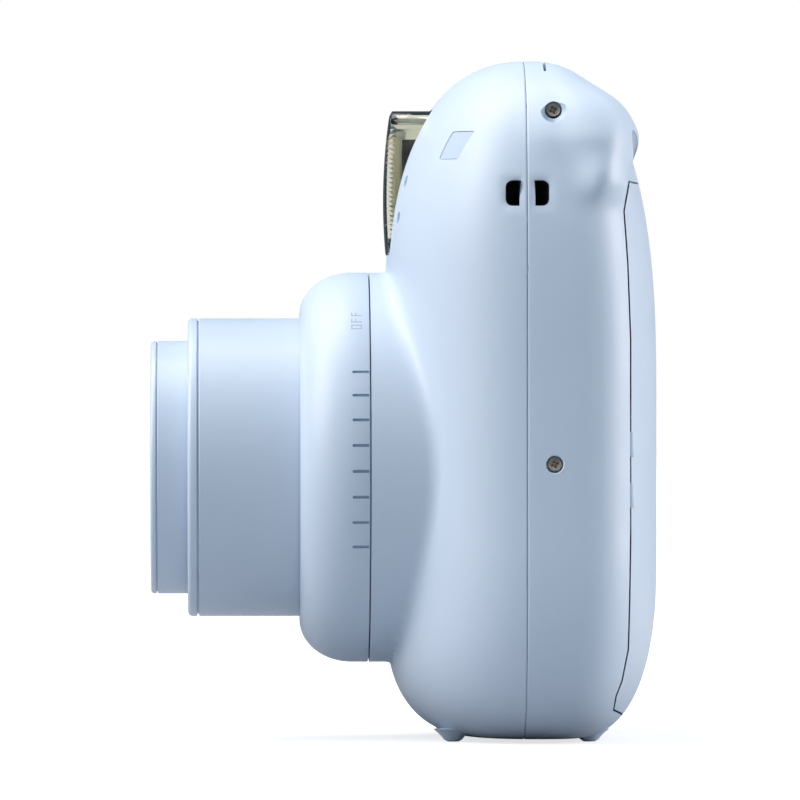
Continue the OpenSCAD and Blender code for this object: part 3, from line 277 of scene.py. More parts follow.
def block(name, low, high, bevel=0.0):
    """A rectangular block between two corners of the maker's frame."""
    low, high = place(*low), place(*high)
    deselect()
    bpy.ops.mesh.primitive_cube_add(size=1, location=(low + high) / 2, scale=high - low)
    piece = begin(name)
    if bevel:
        modifier(piece, "BEVEL", width=bevel * MM, segments=3, limit_method="NONE")
    return piece


def rounded(width, height, radius, corner_steps=8):
    """Outline of a rounded rectangle about the origin, as (across, up) pairs."""
    pairs = []
    for corner in range(4):
        across = (width / 2 - radius) * (1 if corner in (0, 3) else -1)
        up = (height / 2 - radius) * (1 if corner in (0, 1) else -1)
        for step in range(corner_steps + 1):
            angle = math.radians(90 * corner + 90 * step / corner_steps)
            pairs.append((across + radius * math.cos(angle), up + radius * math.sin(angle)))
    return pairs


def join(pieces, name=None):
    """Joins meshes into the first one."""
    deselect()
    for piece in pieces:
        piece.select_set(True)
    bpy.context.view_layer.objects.active = pieces[0]
    if len(pieces) > 1:
        bpy.ops.object.join()
    if name:
        pieces[0].name = name
        pieces[0].data.name = name
    return pieces[0]


def combine(piece, tools, operation="DIFFERENCE"):
    """Cuts or adds tools to piece, and deletes them."""
    tool = join(tools)
    modifier(piece, "BOOLEAN", object=tool, operation=operation, solver="MANIFOLD")
    bpy.data.objects.remove(tool)
    return piece


def copy_of(piece, name):
    """A copy with its own mesh."""
    twin = piece.copy()
    twin.data = piece.data.copy()
    twin.name = name
    twin.data.name = name
    bpy.context.collection.objects.link(twin)
    return twin


def node_copy(node, name):
    """A copy of a CAD node with its doubles merged."""
    piece = copy_of(frame["nodes"][node], name)
    edit(piece)
    tidy_mesh()
    return piece


def slice_away(piece, point, normal):
    """Cuts piece by a plane and drops the side that normal points to."""
    edit(piece)
    bpy.ops.mesh.bisect(plane_co=point, plane_no=normal, clear_outer=True)
    bpy.ops.object.mode_set(mode="OBJECT")
    return piece


def smooth(piece, angle=32):
    """Smooth shading, with edges sharper than angle kept crisp."""
    hold(piece)
    bpy.ops.object.shade_smooth_by_angle(angle=math.radians(angle))
    return piece


def hand_over(piece, body, slot, material, *nodes):
    """Gives a finished piece its body and finish, and hides the nodes that it stands for."""
    if material:
        piece.data.materials.clear()
        piece.data.materials.append(material)
    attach(piece, body)
    if nodes:
        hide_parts(*nodes)
    return piece


# ---- Form of the case ----
def fall(t, power):
    """A quarter of a superellipse: 1 at t = 0, falling to 0 at t = 1."""
    if t <= 0:
        return 1.0
    if t >= 1:
        return 0.0
    return (1 - t ** power) ** (1 / power)


CASE_FOOT = 0.5


def reach(z, full, top, bottom):
    """Full reach between two heights, closing in above and below.

    top and bottom are (height where it starts, reach at the end, power of the curve).
    """
    for (start, end, power), limit in ((top, covers().height / MM), (bottom, CASE_FOOT)):
        part = (z - start) / (limit - start)
        if part > 0:
            return end + (full - end) * fall(part, power)
    return full


def section(z):
    """Front reach, back reach, half width and widest depth of the case at a height."""
    front = reach(z, covers().front / MM, (85, 2, 2.05), (20.5, 8, 2.3))
    back = reach(z, covers().back / MM, (63.4, 1.5, 2.5), (31.5, 10, 2.35))
    half = reach(z, covers().width / MM / 2, (70, 16, 3), (36, 26, 2.4))
    return front, back, half, 0.6 * (front + back) - front


FRONT_POWER, BACK_POWER = 2.6, 3.3


def signed_power(value, power):
    """The power of a value's size, with the value's own sign."""
    return math.copysign(abs(value) ** power, value)


def case_point(z, angle):
    """A point of the case's skin at a height and an angle round it, in degrees.

    The viewfinder corner swells into an ear, which turns from the back to the side lower down.
    """
    front, back, half, middle = section(z)
    along, across = math.cos(math.radians(angle)), math.sin(math.radians(angle))
    power = 2 / (BACK_POWER if across >= 0 else FRONT_POWER)
    depth = back - middle if across >= 0 else front + middle
    turn = angle - 360 if angle > 180 else angle
    low = ease((110 - z) / 9)
    rise = covers().hump / MM * math.exp(-abs((z - 107.3) / 10) ** 6)
    swell = rise * math.exp(-abs((turn - 42 + 13 * low) / (37 - 18 * low)) ** 4)
    wide = ear_width(z, half + 0.62 * rise) * (1 - low) * math.exp(-abs((turn - 22) / 22) ** 4)
    return (half * signed_power(along, power) + swell * (0.62 + 0.25 * low) + wide,
            middle + depth * signed_power(across, power) + swell * (0.78 - 0.5 * low), z)


def ease(value):
    """Rises smoothly from 0 to 1."""
    value = max(0.0, min(1.0, value))
    return value * value * (3 - 2 * value)


def ear_width(z, width):
    """How far the viewfinder corner fills out sideways near the crown."""
    target = 16 + 35.6 * fall((z - 100) / (covers().height / MM - 100), 2.9)
    return max(0.0, min(1.5, target - width))


def side_x(y, z):
    """Half width of the case at a depth, away from the viewfinder swell."""
    front, back, half, middle = section(z)
    if y > middle:
        return half * fall((y - middle) / (back - middle), BACK_POWER)
    return half * fall((middle - y) / (front + middle), FRONT_POWER)


def front_y(x, z):
    """Depth of the case's front at x."""
    front, _, half, middle = section(z)
    return middle - (front + middle) * fall(abs(x) / half, FRONT_POWER)


def case_form():
    """The plain case: a ball whose rings are moved onto the case's sections."""
    segments, rings, radius = 240, 150, 0.05
    deselect()
    bpy.ops.mesh.primitive_uv_sphere_add(segments=segments, ring_count=rings, radius=radius)
    ball = begin("case_form")
    height = covers().height / MM - CASE_FOOT
    pole = 1e-4
    for vertex in ball.data.vertices:
        tilt = math.acos(max(-1.0, min(1.0, vertex.co.z / radius)))
        z = CASE_FOOT + height * (1 + math.cos(tilt)) / 2
        if pole < tilt < math.pi - pole:
            angle = math.degrees(math.atan2(vertex.co.y, vertex.co.x)) % 360
            vertex.co = place(*case_point(z, angle))
        else:
            vertex.co = place(0, section(z)[3], z)
    return ball


def melt(a, b, softness):
    """Smooth union of two (distance, direction) pairs."""
    share = max(0.0, min(1.0, 0.5 + 0.5 * (b[0] - a[0]) / softness))
    distance = b[0] + (a[0] - b[0]) * share - softness * share * (1 - share)
    return distance, b[1].lerp(a[1], share)


def collar_at(point):
    """Distance from the collar's wall with its direction, and how soft the join is there.

    The join is tight above and below the collar and widest at the upper sides.
    """
    flat = Vector((point.x - LENS_X * MM, 0, point.z - LENS_Z * MM))
    radius = flat.length
    direction = flat / radius if radius > 1e-9 else Vector((1, 0, 0))
    side, up = abs(direction.x), direction.z
    softness = 0.8 + side * (0.5 + 2.9 * max(0.0, up))
    return (radius - lens().dial_radius, direction), softness * MM


def press(vertices, depth):
    """Moves points inwards along their normals. depth is in millimetres."""
    inward = [vertex.normal * depth * MM for vertex in vertices]
    for vertex, step in zip(vertices, inward):
        vertex.co -= step


def sink(piece, depth):
    """Moves a whole surface inwards."""
    press(piece.data.vertices, depth)
    return piece


def dish_lugs(skin):
    """Presses a soft shallow dish into the skin round the openings of the strap bars."""
    border, deep = 1.3, 0.3
    normals = [vertex.normal.copy() for vertex in skin.data.vertices]
    for vertex, normal in zip(skin.data.vertices, normals):
        x, y, z = vertex.co / MM
        y -= JOINT_Y
        if abs(x) < 44 or abs(y) > 6 or abs(z - LUG_Z) > 4.5:
            continue
        beside = max(abs(abs(y) - 2.65) - 1.25, 0.0)
        above = max(abs(z - LUG_Z) - 2.27, 0.0)
        away = math.hypot(beside, above)
        if away < border:
            vertex.co -= normal * deep * (1 - away / border) ** 2 * MM


def case_skin():
    """The outer skin of the whole case, with the collar grown out of its front."""
    ball = case_form()
    mesh = bmesh.new()
    mesh.from_mesh(ball.data)
    tree = BVHTree.FromBMesh(mesh)
    mesh.free()
    collar = rod("collar_form", place(LENS_X, -8, LENS_Z), place(LENS_X, -30, LENS_Z),
                 lens().dial_radius / MM, steps=120)
    skin = join([ball, collar], "case_skin")
    skin.data.remesh_voxel_size = covers().grid
    bpy.ops.object.voxel_remesh()
    passes, on_skin = 3, 2e-5
    for _ in range(passes):
        for vertex in skin.data.vertices:
            near, normal, _, _ = tree.find_nearest(vertex.co)
            offset = vertex.co - near
            distance = math.copysign(offset.length, offset.dot(normal))
            body = (distance, offset.normalized() * math.copysign(1, distance)
                    if abs(distance) > on_skin else normal)
            wall, softness = collar_at(vertex.co)
            if vertex.co.y < place(0, 2, 0).y and wall[0] < distance + softness:
                distance, direction = melt(body, wall, softness)
            else:
                direction = body[1]
            vertex.co -= direction.normalized() * distance
    dish_lugs(skin)
    return skin


def soften_rim(piece, y, towards):
    """Rolls over the skin's open edge at depth y. towards is +1 or -1 along y."""
    edit(piece)
    for step in (0.16, 0.6):
        bpy.ops.mesh.select_all(action="SELECT")
        bpy.ops.mesh.bisect(plane_co=place(0, y + towards * step, 0), plane_no=(0, 1, 0))
    bpy.ops.object.mode_set(mode="OBJECT")
    edge = place(0, y, 0).y
    rim = [vertex for vertex in piece.data.vertices if abs(vertex.co.y - edge) < 0.15 * MM]
    press(rim, 0.09)


def skin_half(skin, name, back):
    """The front or back half of the skin with an open rim at the joint."""
    half = copy_of(skin, name)
    gap = covers().joint_gap / MM / 4
    sign = 1 if back else -1
    slice_away(half, place(0, sign * gap, 0), (0, -sign, 0))
    soften_rim(half, sign * gap, sign)
    return half


def joint_band(skin, name, half_width, depth, thickness):
    """A band of the skin's own form across the joint, sunk below the surface."""
    band = copy_of(skin, name)
    for sign in (1, -1):
        slice_away(band, place(0, sign * half_width, 0), (0, sign, 0))
    return walled(sink(band, depth), thickness * MM)


def close_collar(half):
    """Cuts the collar square at its front and turns its lip inwards."""
    rim = -(lens().dial_back / MM - 0.3)
    slice_away(half, place(0, rim, 0), (0, -1, 0))
    edit(half, "DESELECT")
    mesh = bmesh.from_edit_mesh(half.data)
    edge = place(0, rim, 0).y
    for item in mesh.edges:
        item.select = item.is_boundary and all(abs(v.co.y - edge) < 1e-6 for v in item.verts)
    bmesh.update_edit_mesh(half.data)
    bpy.ops.mesh.extrude_edges_move()
    mesh = bmesh.from_edit_mesh(half.data)
    lip = 30.6 * MM
    centre = on_lens(0, -rim)
    for vertex in mesh.verts:
        if vertex.select:
            spoke = vertex.co - centre
            vertex.co = centre + spoke.normalized() * lip
    bmesh.update_edit_mesh(half.data)
    bpy.ops.object.mode_set(mode="OBJECT")
    return half


def walled(piece, thickness):
    """Gives an open skin its wall, inwards."""
    return modifier(piece, "SOLIDIFY", thickness=thickness, offset=-1, use_even_offset=True)


# ---- Openings of the covers ----
def opening(name, x, z, width, height, radius, y_front, y_back):
    """A cutter through the front or back, with round corners."""
    outline = [place(x + a, y_front, z + b) for a, b in rounded(width, height, radius)]
    return prism(name, outline, Vector((0, (y_back - y_front) * MM, 0)))


def lug_channels(shrink=0.0):
    """The channel behind each strap bar: a ring round an upright bar."""
    bar, width, half, corner = 1.4 + shrink, 2.5 - 2 * shrink, LUG_HALF - shrink, 1.2
    profile = [(bar, -half), (bar + width - corner, -half)]
    for degrees in range(15, 91, 15):
        angle = math.radians(degrees)
        profile.append((bar + width - corner + corner * math.sin(angle),
                        -half + corner - corner * math.cos(angle)))
    profile += [(r, -h) for r, h in reversed(profile)]
    tools = []
    for side in (1, -1):
        x = side * side_x(0, LUG_Z)
        points = [place(x + r, 0, LUG_Z + h) for r, h in profile]
        centre = place(x, 0, LUG_Z)
        tools.append(turned("lug_tool", points, centre=centre, axis=(0, 0, 1), steps=64))
    return tools


def lug_black_and_shade_linings():
    """Dark linings of the channels, which start just under the skin: the black of the inner chassis
    seen through the channels, and painted shade on the channel walls.
    """
    rings = []
    for side, ring in zip((1, -1), lug_channels(0.03)):
        slice_away(ring, place(side * (side_x(0, LUG_Z) - 0.3), 0, 0), (side, 0, 0))
        rings.append(walled(ring, 0.12 * MM))
    return smooth(join(rings, "strap_channel_black_and_shade"), 40)


def screw_at(side, z, out):
    """A point on a case screw's axis, out millimetres beyond the skin."""
    on_swell = 0.4 if z > 100 else 0
    return place(side * (side_x(SCREW_Y, z) + on_swell + out), SCREW_Y, z)


def recess_tool(side, z):
    """The round recess over a case screw, with its edge broken."""
    out = Vector((side, 0, 0))
    floor = screw_at(side, z, SCREW_SEAT)
    profile = [(0, 0), (1.52, 0), (1.52, 1.35), (1.62, 1.6), (1.85, 1.85), (2.3, 2.25),
               (2.3, 6), (0, 6)]
    points = [floor + out * t * MM + Vector((0, 0, r * MM)) for r, t in profile]
    return turned("recess_tool", points, centre=floor, axis=(1, 0, 0), steps=56)


def button_at(out):
    """A point on the shutter button's axis, out millimetres beyond the skin."""
    turn = math.radians(BUTTON_TURN)
    outward = Vector((-math.sin(turn), -math.cos(turn), 0))
    return place(*(Vector((BUTTON_X, front_y(BUTTON_X, BUTTON_Z), BUTTON_Z)) + outward * out))


def door_outline(gap):
    """The film door seen from the side, as (depth, height) pairs."""
    top, foot = DOOR_TOP - gap, DOOR_FOOT + gap
    front = [(0.2, top), (-0.7, 95), (-0.1, 86), (0.4, 72), (0.4, 37), (0.1, 17), (-0.9, 11.4),
             (-1.9, 8.6), (-2.2, foot + 2.3), (-0.4, foot + 1.3), (-0.1, foot)]
    return [(DOOR_Y + a + gap, b) for a, b in front] + [(60, foot), (60, top)]


def door_tool(gap):
    outline = [place(-80, y, z) for y, z in door_outline(gap)]
    return prism("door_tool", outline, Vector((160 * MM, 0, 0)))


def flap_tool(gap):
    """A cutter for the battery door in the grip side."""
    middle_y, middle_z = sum(BAY_Y) / 2, sum(BAY_Z) / 2
    pairs = rounded(BAY_Y[1] - BAY_Y[0] + 0.4 - 2 * gap, BAY_Z[1] - BAY_Z[0] + 0.4 - 2 * gap, 3)
    outline = [place(-80, middle_y + a, middle_z + b) for a, b in pairs]
    return prism("flap_tool", outline, Vector((50 * MM, 0, 0)))


def exit_prism(name, width, depth, low, high):
    """An upright slot at the film exit."""
    pairs = rounded(width, depth, depth / 2 - 0.01, 5)
    outline = [place(LENS_X + a, EXIT_Y + b, low) for a, b in pairs]
    return prism(name, outline, Vector((0, 0, (high - low) * MM)))


def knuckle_rods(axis_at):
    """The hinge knuckles of a door, on an upright axis."""
    x, y = axis_at[0] / MM, axis_at[1] / MM - JOINT_Y
    return [rod("knuckle", place(x, y, low), place(x, y, high), 0.95, 24, 0.1)
            for low, high in KNUCKLES]


def foot_bump(x, y):
    """A small rounded foot that flares into the case."""
    profile = [(0, 0), (1.0, 0.03), (1.6, 0.35), (2.1, 0.95), (2.7, 1.6), (3.6, 2.3), (0, 2.6)]
    points = [place(x + r, y, h) for r, h in profile]
    return turned("foot", points, centre=place(x, y, 0), axis=(0, 0, 1), steps=40)


# ---- Materials ----
def new_material(name):
    """A material with its node tree and its shader."""
    material = bpy.data.materials.new(name)
    material.use_nodes = True
    tree = material.node_tree
    shader = next(n for n in tree.nodes if n.type == "BSDF_PRINCIPLED")
    return material, tree, shader


def add(tree, kind, **values):
    """A node with its settings and unlinked sockets filled in."""
    node = tree.nodes.new(kind)
    for key, value in values.items():
        if key in node.inputs.keys():
            node.inputs[key].default_value = value
        else:
            setattr(node, key, value)
    return node


def grain(tree, scale, detail=3.0):
    """Noise on Object coordinates. scale is in features per metre."""
    where = add(tree, "ShaderNodeTexCoord")
    noise = add(tree, "ShaderNodeTexNoise")
    noise.inputs["Scale"].default_value = scale
    noise.inputs["Detail"].default_value = detail
    tree.links.new(where.outputs["Object"], noise.inputs["Vector"])
    return noise.outputs["Fac"]


def ramp(tree, source, low, high, start=0.3, end=0.7):
    """Maps a value that runs from start to end onto the range from low to high."""
    step = add(tree, "ShaderNodeMapRange")
    for name, value in (("From Min", start), ("From Max", end), ("To Min", low), ("To Max", high)):
        step.inputs[name].default_value = value
    tree.links.new(source, step.inputs["Value"])
    return step.outputs["Result"]


def two_tone(tree, source, dark, light):
    """Mixes two colours by a value."""
    mix = add(tree, "ShaderNodeMix", data_type="RGBA")
    mix.inputs[6].default_value = (*dark, 1)
    mix.inputs[7].default_value = (*light, 1)
    tree.links.new(source, mix.inputs[0])
    return mix.outputs[2]


def bumped(tree, shader, source, strength, distance):
    """Gives the shader relief from a value. distance is in metres."""
    bump = add(tree, "ShaderNodeBump")
    bump.inputs["Strength"].default_value = strength
    bump.inputs["Distance"].default_value = distance
    tree.links.new(source, bump.inputs["Height"])
    tree.links.new(bump.outputs["Normal"], shader.inputs["Normal"])


def moulded(name, rgb, rough=(0.42, 0.5), texture=2600, relief=0.12, vary=0.05, specular=0.45):
    """Moulded plastic: a fine eroded texture, faint flow marks and a slightly uneven sheen."""
    material, tree, shader = new_material(name)
    dark = tuple(c * (1 - vary) for c in rgb)
    light = tuple(min(1, c * (1 + vary)) for c in rgb)
    tree.links.new(two_tone(tree, grain(tree, 26, 4), dark, light), shader.inputs["Base Color"])
    tree.links.new(ramp(tree, grain(tree, 140, 2), *rough), shader.inputs["Roughness"])
    shader.inputs["Specular IOR Level"].default_value = specular
    bumped(tree, shader, grain(tree, texture, 2), relief, 0.00004)
    return material


def metal(name, rgb, rough=(0.2, 0.34), brush=None, relief=0.15):
    """Drawn or plated metal, with fine brushing along the axis that brush names."""
    material, tree, shader = new_material(name)
    where = add(tree, "ShaderNodeTexCoord")
    stretch = add(tree, "ShaderNodeMapping")
    scale = {"x": (60, 2400, 2400), "y": (2400, 60, 2400), "z": (2400, 2400, 60)}
    stretch.inputs["Scale"].default_value = scale.get(brush, (900, 900, 900))
    noise = add(tree, "ShaderNodeTexNoise")
    noise.inputs["Scale"].default_value = 1
    noise.inputs["Detail"].default_value = 3
    tree.links.new(where.outputs["Object"], stretch.inputs["Vector"])
    tree.links.new(stretch.outputs["Vector"], noise.inputs["Vector"])
    fac = noise.outputs["Fac"]
    dark = tuple(c * 0.86 for c in rgb)
    tree.links.new(two_tone(tree, fac, dark, rgb), shader.inputs["Base Color"])
    tree.links.new(ramp(tree, fac, *rough), shader.inputs["Roughness"])
    shader.inputs["Metallic"].default_value = 1
    bumped(tree, shader, fac, relief, 0.00002)
    return material


def glassy(name, rgb, rough=0.02, ior=1.49, coat_rgb=None):
    """Clear moulding or glass, faintly uneven inside."""
    material, tree, shader = new_material(name)
    light = tuple(min(1, c * 1.03) for c in rgb)
    dark = tuple(c * 0.96 for c in rgb)
    tree.links.new(two_tone(tree, grain(tree, 90, 2), dark, light), shader.inputs["Base Color"])
    tree.links.new(ramp(tree, grain(tree, 300, 2), rough, rough + 0.04), shader.inputs["Roughness"])
    shader.inputs["IOR"].default_value = ior
    shader.inputs["Transmission Weight"].default_value = 1
    if coat_rgb:
        shader.inputs["Coat Weight"].default_value = 0.6
        shader.inputs["Coat Tint"].default_value = (*coat_rgb, 1)
    return material


def make_materials():
    """Every finish of the camera, by the name of its use."""
    colours = finish()
    shell, black = tuple(colours.shell), tuple(colours.black)
    barrel = tuple(c * 0.99 for c in shell)
    matt = tuple(c * 0.5 for c in black)
    return {
        "shell": moulded("shell_plastic", shell, (0.40, 0.47), vary=0.02, specular=0.42),
        "barrel": moulded("barrel_plastic", barrel, (0.30, 0.38), 3800, 0.06, 0.015),
        # painted shade for the index grooves of the dial
        "groove_shade_fill": moulded("painted_groove_shade", tuple(colours.groove_shade), relief=0.05, vary=0.1),
        "print": moulded("dial_print", (0.33, 0.44, 0.59), relief=0.03, vary=0.04),
        "black": moulded("inner_black_plastic", black, (0.45, 0.62), 1800, 0.3, 0.3),
        "flock": moulded("light_trap_black", matt, (0.8, 0.95), 3000, 0.6, 0.4, 0.2),
        "grey": moulded("grey_plastic", (0.05, 0.053, 0.06), (0.35, 0.5), 1600, 0.2, 0.15),
        "face": moulded("lens_face_black", (0.014, 0.015, 0.018), (0.3, 0.42), 2200, 0.15, 0.2),
        "gear": moulded("acetal", (0.72, 0.70, 0.64), (0.28, 0.4), 900, 0.08, 0.04),
        "pane": moulded("tinted_finder_pane", (0.47, 0.58, 0.72), (0.05, 0.09), relief=0, specular=0.6),
        "violet": moulded("capacitor_end_plate", (0.085, 0.08, 0.11), (0.3, 0.45), vary=0.2),
        "white": moulded("white_holder", (0.78, 0.78, 0.78), (0.35, 0.5), vary=0.03),
        "dark": moulded("dark_gloss_window", (0.01, 0.01, 0.012), (0.06, 0.12), 2600, 0.02, 0.3, 0.6),
        "board": moulded("solder_mask", (0.012, 0.11, 0.05), (0.2, 0.35), 700, 0.2, 0.25),
        "sleeve": moulded("shrink_sleeve", (0.02, 0.03, 0.1), (0.2, 0.3), 400, 0.2, 0.2),
        "diffuser": moulded("flash_diffuser", (0.80, 0.76, 0.60), (0.3, 0.4), 900, 0.2, 0.04),
        "steel": metal("plated_steel", (0.62, 0.62, 0.63), (0.22, 0.3), "z", 0.04),
        "screw": metal("bronze_nickel_screw", (0.52, 0.43, 0.35), (0.26, 0.42)),
        "roller": metal("ground_steel", (0.5, 0.5, 0.52), (0.12, 0.26), "x"),
        "can": metal("motor_can", (0.7, 0.7, 0.71), (0.18, 0.3), "x"),
        "brass": metal("brass", (0.78, 0.6, 0.28), (0.2, 0.36)),
        "mirror": metal("mirror_skin", (0.9, 0.9, 0.92), (0.02, 0.05), relief=0.0),
        "reflector": metal("flash_reflector", (0.82, 0.82, 0.84), (0.08, 0.16)),
        "glass": glassy("coated_glass", (0.92, 0.95, 0.97), 0.01, 1.6, (0.6, 0.75, 1.0)),
        "clear": glassy("smoky_clear_plastic", tuple(colours.smoke), 0.03),
        "window": glassy("plain_clear_plastic", (0.8, 0.82, 0.84), 0.05),
    }


FINISH = {}
NODE_FINISH = {
    "steel": ("door_hinge_pins", "cam_pins", "roller_frame", "shutter_spring", "latch_spring",
              "pack_springs", "battery_springs", "battery_contacts"),
    "screw": ("case_screws",),
    "black": ("lens_guide_tube", "shutter_housing", "chassis", "finder_tunnel", "finder_eyepiece",
              "shutter_switch", "film_exit_guide", "shutter_blade"),
    "flock": ("dark_chamber",),
    "grey": ("lens_front_plate", "battery_holder"),
    "gear": ("idler_gear", "reduction_gear", "counter_disc"),
    "roller": ("roller_front", "roller_rear"),
    "can": ("drive_motor",),
    "brass": ("motor_pinion",),
    "glass": ("front_lens", "rear_lens", "flash_tube"),
    "clear": ("flash_window",),
    "window": ("finder_window", "counter_window"),
    "dark": ("light_sensor", "film_check_window"),
    "mirror": ("selfie_mirror",),
    "board": ("main_circuit_board",),
    "sleeve": ("flash_capacitor",),
    "reflector": ("flash_reflector",),
    "shell": ("front_cover", "rear_cover", "back_door", "battery_door", "lens_dial", "shutter_button",
              "door_latch"),
    "barrel": ("outer_barrel", "outer_bezel", "inner_barrel", "inner_bezel"),
}


class PART_OT_finishes(bpy.types.Operator):
    """Makes the finishes and gives each CAD node its own"""
    bl_idname = "part.finishes"
    bl_label = "Finishes"

    def execute(self, context):
        FINISH.update(make_materials())
        given = set()
        for use, names in NODE_FINISH.items():
            for name in names:
                node = frame["nodes"][name]
                node.data.materials.clear()
                node.data.materials.append(FINISH[use])
                given.add(name)
        missing = set(frame["nodes"]) - given
        if missing:
            raise RuntimeError(f"nodes without a finish: {sorted(missing)}")
        return {"FINISHED"}


class PART_OT_covers(bpy.types.Operator):
    """Moulds the front and rear covers, the film door and the battery door from one skin"""
    bl_idname = "part.covers"
    bl_label = "Covers and doors"

    def execute(self, context):
        skin = case_skin()
        rear = skin_half(skin, "rear_shell", back=True)
        door = copy_of(rear, "film_door")
        front = close_collar(skin_half(skin, "front_shell", back=False))
        for shell in (front, rear):
            walled(shell, covers().wall)
        combine(rear, [joint_band(skin, "groove_tool", 1.3, 0.5, 1.1)])
        combine(front, [joint_band(skin, "joint_tongue", 1.1, 0.6, 0.9)], "UNION")
        self.front_cover(front)
        self.rear_cover(rear)
        self.film_door(door)
        self.battery_flap(skin)
        # the channel linings are partly the black inner chassis and partly painted shade in the strap
        # channels
        hand_over(lug_black_and_shade_linings(), "camera_body", "black_plastic", FINISH["flock"])
        self.finder_panes(skin)
        self.exit_guide(skin)
        bpy.data.objects.remove(skin)
        return {"FINISHED"}

    def front_cover(self, front):
        """Cuts the flash, finder, button, strap and sensor openings, and adds the front feet."""
        tools = [opening("flash_tool", FLASH_X, FLASH_Z, *FLASH_SIZE, -60, -11.5),
                 opening("finder_tool", FINDER_X, FINDER_Z, 5, 5, 0.4, -30, -2),
                 rod("button_tool", button_at(-4), button_at(8), 5.25, 64), flap_tool(0)]
        tools += lug_channels()
        for z in SENSORS:
            ahead, seat = place(SENSOR_X, -30, z), place(SENSOR_X, front_y(SENSOR_X, z) + 1.4, z)
            inside = place(SENSOR_X, -10, z)
            tools += [rod("sensor_tool", ahead, inside, 1.35, 32),
                      rod("sensor_seat", seat, inside, 2.2, 32)]
        combine(front, tools)
        combine(front, [foot_bump(x, FRONT_FOOT_Y) for x in (FOOT_X, -FOOT_X)], "UNION")
        smooth(front)
        hand_over(front, "camera_body", "shell_blue", FINISH["shell"], "front_cover")

    def rear_cover(self, rear):
        """Cuts the door, eyepiece, film exit and screw openings, and adds the rear feet."""
        inside, seat, behind = (place(FINDER_X, y, FINDER_Z) for y in (12, 17.1, 30))
        tools = [door_tool(0), flap_tool(0), rod("eyepiece_tool", inside, behind, 2.7, 48),
                 rod("eyepiece_seat", inside, seat, 4.2, 48),
                 exit_prism("exit_tool", 55.2, 0.5, 112, 132)]
        tools += lug_channels() + [recess_tool(side, z) for side, z in SCREWS]
        combine(rear, tools)
        combine(rear, [foot_bump(x, REAR_FOOT_Y) for x in (FOOT_X, -FOOT_X)], "UNION")
        smooth(rear)
        hand_over(rear, "camera_body", "shell_blue", FINISH["shell"], "rear_cover")

    def film_door(self, door):
        """The back door with its two windows, latch opening and hinge knuckles."""
        walled(door, covers().door_wall)
        combine(door, [door_tool(covers().door_gap / MM)], "INTERSECT")
        combine(door, [opening("window_tool", *FILM_WINDOW, 15, 35),
                       opening("counter_tool", *COUNTER_WINDOW, 15, 35),
                       block("latch_tool", (-60, 19, 42.7), (-35, 22.2, 58.3))])
        door = smooth(join([door] + knuckle_rods(HINGE)))
        hand_over(door, "back_door", "shell_blue", FINISH["shell"], "back_door")

    def battery_flap(self, skin):
        """The battery door in the grip side."""
        flap = walled(copy_of(skin, "battery_flap"), covers().wall)
        combine(flap, [flap_tool(covers().door_gap / MM)], "INTERSECT")
        flap = smooth(join([flap] + knuckle_rods(FLAP_HINGE)))
        hand_over(flap, "battery_door", "shell_blue", FINISH["shell"], "battery_door")

    def finder_panes(self, skin):
        """The front window and the eyepiece of the finder, which follow the skin."""
        half = 2.42
        square = block("pane_tool", (FINDER_X - half, -30, FINDER_Z - half),
                       (FINDER_X + half, -2, FINDER_Z + half), 0.35)
        disc = rod("pane_tool", place(FINDER_X, 15, FINDER_Z), place(FINDER_X, 30, FINDER_Z), 2.62, 48)
        panes = (("finder_pane", square, ["finder_window"]), ("eyepiece_pane", disc, []))
        for name, tool, nodes in panes:
            pane = sink(copy_of(skin, name), 0.1)
            slice_away(pane, place(FINDER_X - 6, 0, 0), (-1, 0, 0))
            slice_away(pane, place(0, 0, FINDER_Z - 6), (0, 0, -1))
            walled(pane, 1.1 * MM)
            combine(pane, [tool], "INTERSECT")
            smooth(pane, 40)
            hand_over(pane, "camera_body", "clear_plastic", FINISH["pane"], *nodes)
        cup = [(2.0, 14.5), (4.0, 14.5), (4.0, 16.9), (2.55, 16.95), (2.3, 17.3), (2.0, 17.3)]
        eyepiece = smooth(turned_at("eyepiece_cup", FINDER_X, FINDER_Z, cup, 48), 40)
        hand_over(eyepiece, "camera_body", "black_plastic", FINISH["black"], "finder_eyepiece")

    def exit_guide(self, skin):
        """The guide under the film exit, whose lips rise to the inside of the crown."""
        guide = block("film_guide", (-21.35, 1.4, 110.4), (35.35, 5.8, 114.4), 0.25)
        lips = exit_prism("lips", 56.4, 2.1, 113, 130)
        form = sink(copy_of(skin, "inner_form"), 2.15)
        combine(lips, [form], "INTERSECT")
        combine(guide, [lips], "UNION")
        combine(guide, [exit_prism("slit", 54.8, 0.6, 100, 130),
                        exit_prism("throat", 54.8, 2, 100, 113)])
        smooth(guide)
        hand_over(guide, "camera_body", "black_plastic", FINISH["black"], "film_exit_guide")


def arc(centre_r, centre_t, radius_r, radius_t, start, end, steps):
    """Points of an elliptical arc in the (radius, forward) plane. 0 degrees points outwards."""
    points = []
    for step in range(steps + 1):
        angle = math.radians(start + (end - start) * step / steps)
        points.append((centre_r + radius_r * math.cos(angle),
                       centre_t + radius_t * math.sin(angle)))
    return points


def lens_ring(name, profile, steps=None):
    """A ring or disc on the lens axis, from points of (radius, forward)."""
    return turned(name, [on_lens(r, t, 90) for r, t in profile], steps=steps)


